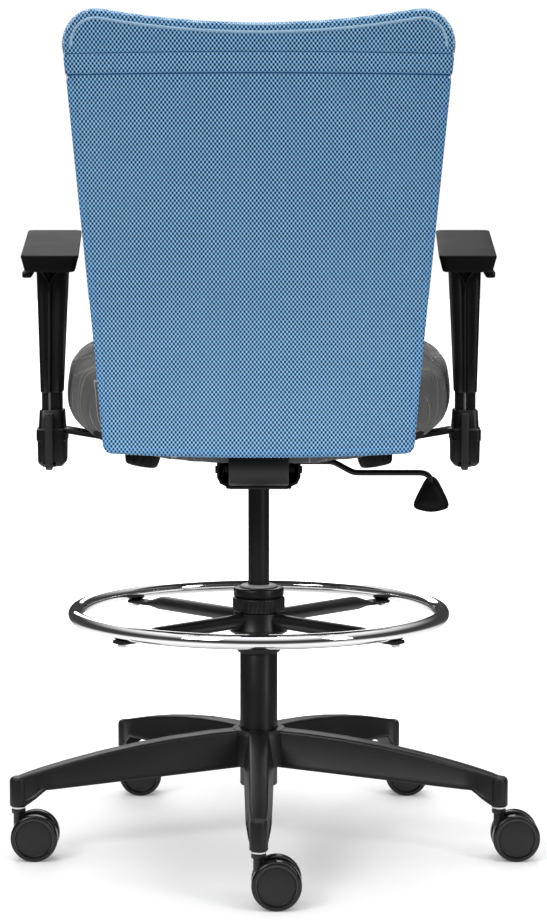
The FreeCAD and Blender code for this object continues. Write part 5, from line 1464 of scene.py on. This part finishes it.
def make_back_cushion():
    small = 1.5
    near, far = 27.0 + small, 53.0 - small
    rim = ((8.4 + small, near + 1.6), (6.2 + small, near + 5.5), (5.2 + small, near + 13),
           (6.2 + small, far - 5.5),
           (8.4 + small, far - 1.6), (13.0 + small, far))
    bm, _ = sheet_panel(60, 68, 13.0 + small, near, rim)
    other, _ = sheet_panel(60, 68, 13.0 + small, far, ())
    mesh = bpy.data.meshes.new("front")
    other.to_mesh(mesh)
    other.free()
    bm.from_mesh(mesh)
    bmesh.ops.remove_doubles(bm, verts=bm.verts, dist=0.4 * MM)
    bm = blown(bm, 6 * MM, 4.5 * MM)
    bmesh.ops.smooth_vert(bm, verts=bm.verts, factor=0.5, use_axis_x=True, use_axis_y=True, use_axis_z=True)
    uv = bm.loops.layers.uv.new("cloth")
    for face in bm.faces:
        for corner in face.loops:
            corner[uv].uv = (corner.vert.co.x, corner.vert.co.z + (corner.vert.co.y - 0.2) * 0.6)
    piece = make_piece("back_cushion_foam", bm, "back", BACK_FABRIC, ("back_cushion",), sharp=180, levels=1)


make_back_cushion()

# %% [markdown]
# An arm has seven pieces. A flat bar slides in a guide under the seat and ends in a moulded
# sleeve. A steel tube stands in the sleeve, and the post with its pad slides on the tube. The
# post has a ridge down its rear that forks under the pad.

# %% Arms: bar, knob and sleeve


ARM_OUT, ARM_BACK, PAD_OUT, PAD_LOW, PAD_TILT = 270.4, 35.0, 271.9, 779.2, 7.8
POST_LOW, POST_RUN = 606, 191.4


def bar_turn(side):
    """The turn of a bar: X along it, rising outwards."""
    return turn_about(ABOUT_Z, 0 if side > 0 else 180) @ turn_about(ABOUT_Y, -BAR_SLOPE)


def make_bar(name, side):
    knob = Vector((side * KNOB_OUT, ARM_BACK, BAR_LOW)) * MM
    cos = math.cos(math.radians(BAR_SLOPE))
    bar = block((-(150 - 66) / cos * MM, -23 * MM, 0), ((257 - 150) / cos * MM, 23 * MM, 6.4 * MM))
    soften(bar, 1.0 * MM)
    moved(moved(bar, turn=bar_turn(side)), knob)
    make_piece(f"arm_flat_bar_{name}", bar, f"arm_{name}", ARM_STEEL, (f"arm_bar_{name}",))
    rows = ((0, -27.3), (17.6, -27.3), (19.8, -26.4), (21.6, -23.6), (22.8, -19), (23.8, -10), (24, -5),
            (23.4, -2), (21, -0.4), (4, -0.4), (4, 6.2), (0, 6.2))
    dial = lathe([(r * MM, h * MM) for r, h in rows], steps=96)
    for vert in dial.verts:
        out = math.hypot(vert.co.x, vert.co.y)
        if out > 19 * MM and -25 * MM < vert.co.z < -2 * MM:
            press = 1 - 1.1 * MM * max(0.0, math.cos(math.atan2(vert.co.y, vert.co.x) * 12)) / out
            vert.co.x, vert.co.y = vert.co.x * press, vert.co.y * press
    moved(moved(dial, turn=bar_turn(side)), knob)
    make_piece(f"arm_dial_{name}", dial, f"arm_knob_{name}", CONTROL, (f"arm_knob_{name}",), sharp=50)


def stack(rows, across, back, bend, steps=5):
    """Level rounded rectangles, (height, width, depth) each, bridged upwards."""
    rings = []
    for high, wide, deep in rows:
        corner = min(bend, wide / 2 - 0.1, deep / 2 - 0.1)
        rings.append([Vector((across + x, back + y, high)) * MM for x, y in
                      round_corners(wide / 2, deep / 2, corner, steps)])
    return loft(rings)


def make_sleeve(name, side):
    across, back = side * ARM_OUT, ARM_BACK
    body = stack((
        (509.4, 25, 42), (510.4, 28.5, 46), (513.5, 34, 52), (516.5, 35.6, 54), (541, 36.4, 56),
        (543, 36.6, 56.4),
        (543.8, 38.6, 58), (557.5, 38.6, 58), (558.4, 36.4, 56), (559.5, 33.4, 53), (571, 32.0, 50),
        (581.8, 31, 46.5),
        (583.2, 29.6, 45)), across, back, 7)
    tab = block(Vector((across + side * 14.5, back - 12, 545)) * MM,
                Vector((across + side * 19.3, back + 12, 560)) * MM)
    rib = stack((
        (505.6, 5.6, 6), (506.4, 8.0, 8), (509.0, 9.4, 10), (511, 10, 10.8), (574, 9.4, 10.8),
        (578.4, 9.0, 10.2),
        (579.6, 8.2, 8.2)), across + 2.4, back + 27.6, 0.6, 2)
    step = stack(((509.6, 15.5, 7), (510.2, 17, 8.4), (512.2, 17, 8.4), (513, 16, 7.4)),
                 across + 2.4, back + 26.4, 1.2, 2)
    soften(tab, 1.2 * MM)
    make_piece(f"arm_socket_{name}", together(body, tab, step), f"arm_{name}", ARM, (f"arm_sleeve_{name}",),
               sharp=34)
    # Painted highlight: the rib is lighter than the sleeve.
    make_piece(f"arm_socket_rib_painted_highlight_{name}", rib, f"arm_{name}", ARM_RIB_PAINTED_HIGHLIGHT, (), sharp=34)


def make_tube(name, side):
    across, back = side * ARM_OUT, ARM_BACK
    tube = stack(((520, 25, 36), (715.4, 25, 36), (716, 24, 35)), across, back, 3)
    strip = stack(((560, 3.0, 1.2), (700, 3.0, 1.2)), across + 2.0, back + 18.0, 0.4, 2)
    make_piece(f"arm_steel_tube_{name}", tube, f"arm_{name}", ARM_STEEL, (f"arm_tube_{name}",), sharp=34)
    make_piece(f"arm_height_scale_{name}", strip, f"arm_{name}", SCALE_STEEL, (), sharp=34)


SCALE_STEEL = steel("arm_steel", 0.3, name="height_scale")

# %% [markdown]
# The pad is flat on top, with a soft edge, and its sides slope in below to a smaller underside.
# It is tilted and toed out, so it is made level and turned into place.

# %% Arms: post, pad and trigger


def pad_turn(side):
    return turn_about(ABOUT_Z, side * 3.2) @ turn_about(ABOUT_X, -PAD_TILT)


def pad_base(side):
    return Vector((side * PAD_OUT, 0, PAD_LOW)) * MM


def make_post(name, side):
    across, back = side * ARM_OUT, ARM_BACK

    def lean(z):
        return -side * 2.5 * (z - POST_LOW) / 191.0

    def rear(z):
        return back + (44 + 20 * (z - POST_LOW) / POST_RUN) / 2 + 0.4

    rings = []
    for high in (POST_LOW, 607.2, 640, 680, 720, 750, 772, 790):
        share = (high - POST_LOW) / POST_RUN
        trim = 1.4 if high == POST_LOW else 0
        wide, deep = 28 + 13 * share - trim, 44 + 20 * share - trim
        ring = round_corners(wide / 2, deep / 2, 6 + 2 * share, 4)
        rings.append([Vector((across + lean(high) + x, back + y, high)) * MM for x, y in fluted(ring)])
    body = loft(rings)
    under = pad_base(side)
    normal = pad_turn(side) @ ABOUT_Z
    cut = bmesh.ops.bisect_plane(body, geom=body.verts[:] + body.edges[:] + body.faces[:],
                                 plane_co=under + normal * 1.0 * MM, plane_no=normal, clear_outer=True)
    bmesh.ops.contextual_create(body, geom=[g for g in cut["geom_cut"] if isinstance(g, bmesh.types.BMEdge)])
    ridges = []
    fork = 748.0
    heights = (606.6, 660, 705, fork - 8)
    centre = [Vector((across + lean(z) + 2.0, rear(z) - 0.6, z)) * MM for z in heights]
    # Painted highlight: the keel is lighter than the post.
    make_piece(f"arm_keel_painted_highlight_{name}", ridge(centre, 1.5, 2.2), f"arm_top_{name}", ARM_RIB_PAINTED_HIGHLIGHT, ())
    for way in (-1, 1):
        path = []
        for z, out in ((fork - 12, 0), (fork, 1.0), (fork + 8, 4.2), (fork + 14, 8.6), (fork + 17.5, 12.0)):
            path.append(Vector((across + lean(z) + 2.0 + way * out, rear(z) - 0.6, z)) * MM)
        ridges.append(ridge(path, 2.6, 2.0))
    make_piece(f"arm_upright_{name}", together(body, *ridges), f"arm_top_{name}", ARM, (f"arm_post_{name}",),
               sharp=30)


def fluted(ring):
    """The outline with two shallow flutes and a keel between them on its rear side."""
    points = []
    for (x, y), (next_x, next_y) in zip(ring, ring[1:] + ring[:1]):
        points.append((x, y))
        if y > 0 and next_y > 0 and x * next_x < 0:
            for share, rise in ((0.12, -0.6), (0.26, -1.5), (0.40, -1.1), (0.47, 0.6), (0.5, 1.4),
                                (0.53, 0.6),
                                (0.60, -1.1), (0.74, -1.5), (0.88, -0.6)):
                points.append((x + (next_x - x) * share, y + rise))
    return points


def ridge(path, wide, tall):
    """A low rib that stands out to the rear along a path."""
    rings = []
    for i, spot in enumerate(path):
        ahead, behind = path[min(i + 1, len(path) - 1)], path[max(i - 1, 0)]
        along = (ahead - behind).normalized()
        across = along.cross(ABOUT_Y).normalized() * wide * MM
        out = Vector((0, tall * MM, 0))
        rings.append([spot - across - out * 0.4, spot + across - out * 0.4, spot + across * 0.55 + out * 0.7,
                      spot + across * 0.2 + out, spot - across * 0.2 + out, spot - across * 0.55 + out * 0.7])
    return loft(rings)


def make_pad(name, side):
    rings = []
    side_rows = [(3.0 - 0.25 * i + 0.22 * (i % 2), 7.0 + 1.0 * i) for i in range(10)]
    for inset, high in ((9, 0.2), (6.6, 0.0), (5.2, 0.7), (4.2, 2.6), *side_rows, (0.3, 17.4), (0.0, 18.2),
                        (0.0, 20.2), (0.35, 21.1), (1.0, 21.7), (2.0, 21.9), (14.0, 22.1)):
        ring = round_corners(36.5 - inset, 126 - inset, 9 - min(inset, 10) * 0.4, 8)
        rings.append([Vector((x, y, high)) * MM for x, y in ring])
    pad = loft(rings)
    tray = []
    for inset, high in ((15, -4.4), (13.4, -3.6), (12.4, 0.6)):
        tray.append([Vector((x, y + 6, high)) * MM for x, y in round_corners(36 - inset, 100 - inset, 12, 6)])
    moved(moved(pad, turn=pad_turn(side)), pad_base(side))
    base = loft(tray)
    moved(moved(base, turn=pad_turn(side)), pad_base(side))
    piece = make_piece(f"arm_rest_{name}", pad, f"arm_top_{name}", PAD, (f"arm_pad_{name}",), sharp=44)
    make_piece(f"arm_rest_tray_{name}", base, f"arm_top_{name}", ARM, (), sharp=40)


def make_trigger(name):
    low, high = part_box(f"arm_trigger_{name}")
    middle = (low + high) / 2
    rings = []
    for inset, rise in ((1.4, -4), (0.4, -3.4), (0, -2.4), (0, 2.6), (0.6, 3.6), (1.8, 4)):
        ring = round_corners(6 - inset, 21 - inset, 3, 4)
        rings.append([Vector((x, y, rise)) * MM for x, y in ring])
    key = loft(rings)
    moved(moved(key, turn=turn_about(ABOUT_X, -PAD_TILT)), middle)
    make_piece(f"arm_key_{name}", key, f"arm_trigger_{name}", CONTROL, (f"arm_trigger_{name}",))


for name, side in SIDES:
    make_bar(name, side)
    make_sleeve(name, side)
    make_tube(name, side)
    make_post(name, side)
    make_pad(name, side)
    make_trigger(name)

# %% Guides and the rest
for node, finish in (("arm_guides", MECHANISM), ("seat_pan", plastic("pan_wood", 0.02, 0.55)),
                     ("recline_spring", SCREW_STEEL), ("thrust_bearing", SCREW_STEEL),
                     ("gas_piston_rod", SCREW_STEEL)):
    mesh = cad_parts[node].data
    mesh.materials.clear()
    mesh.materials.append(finish.material)
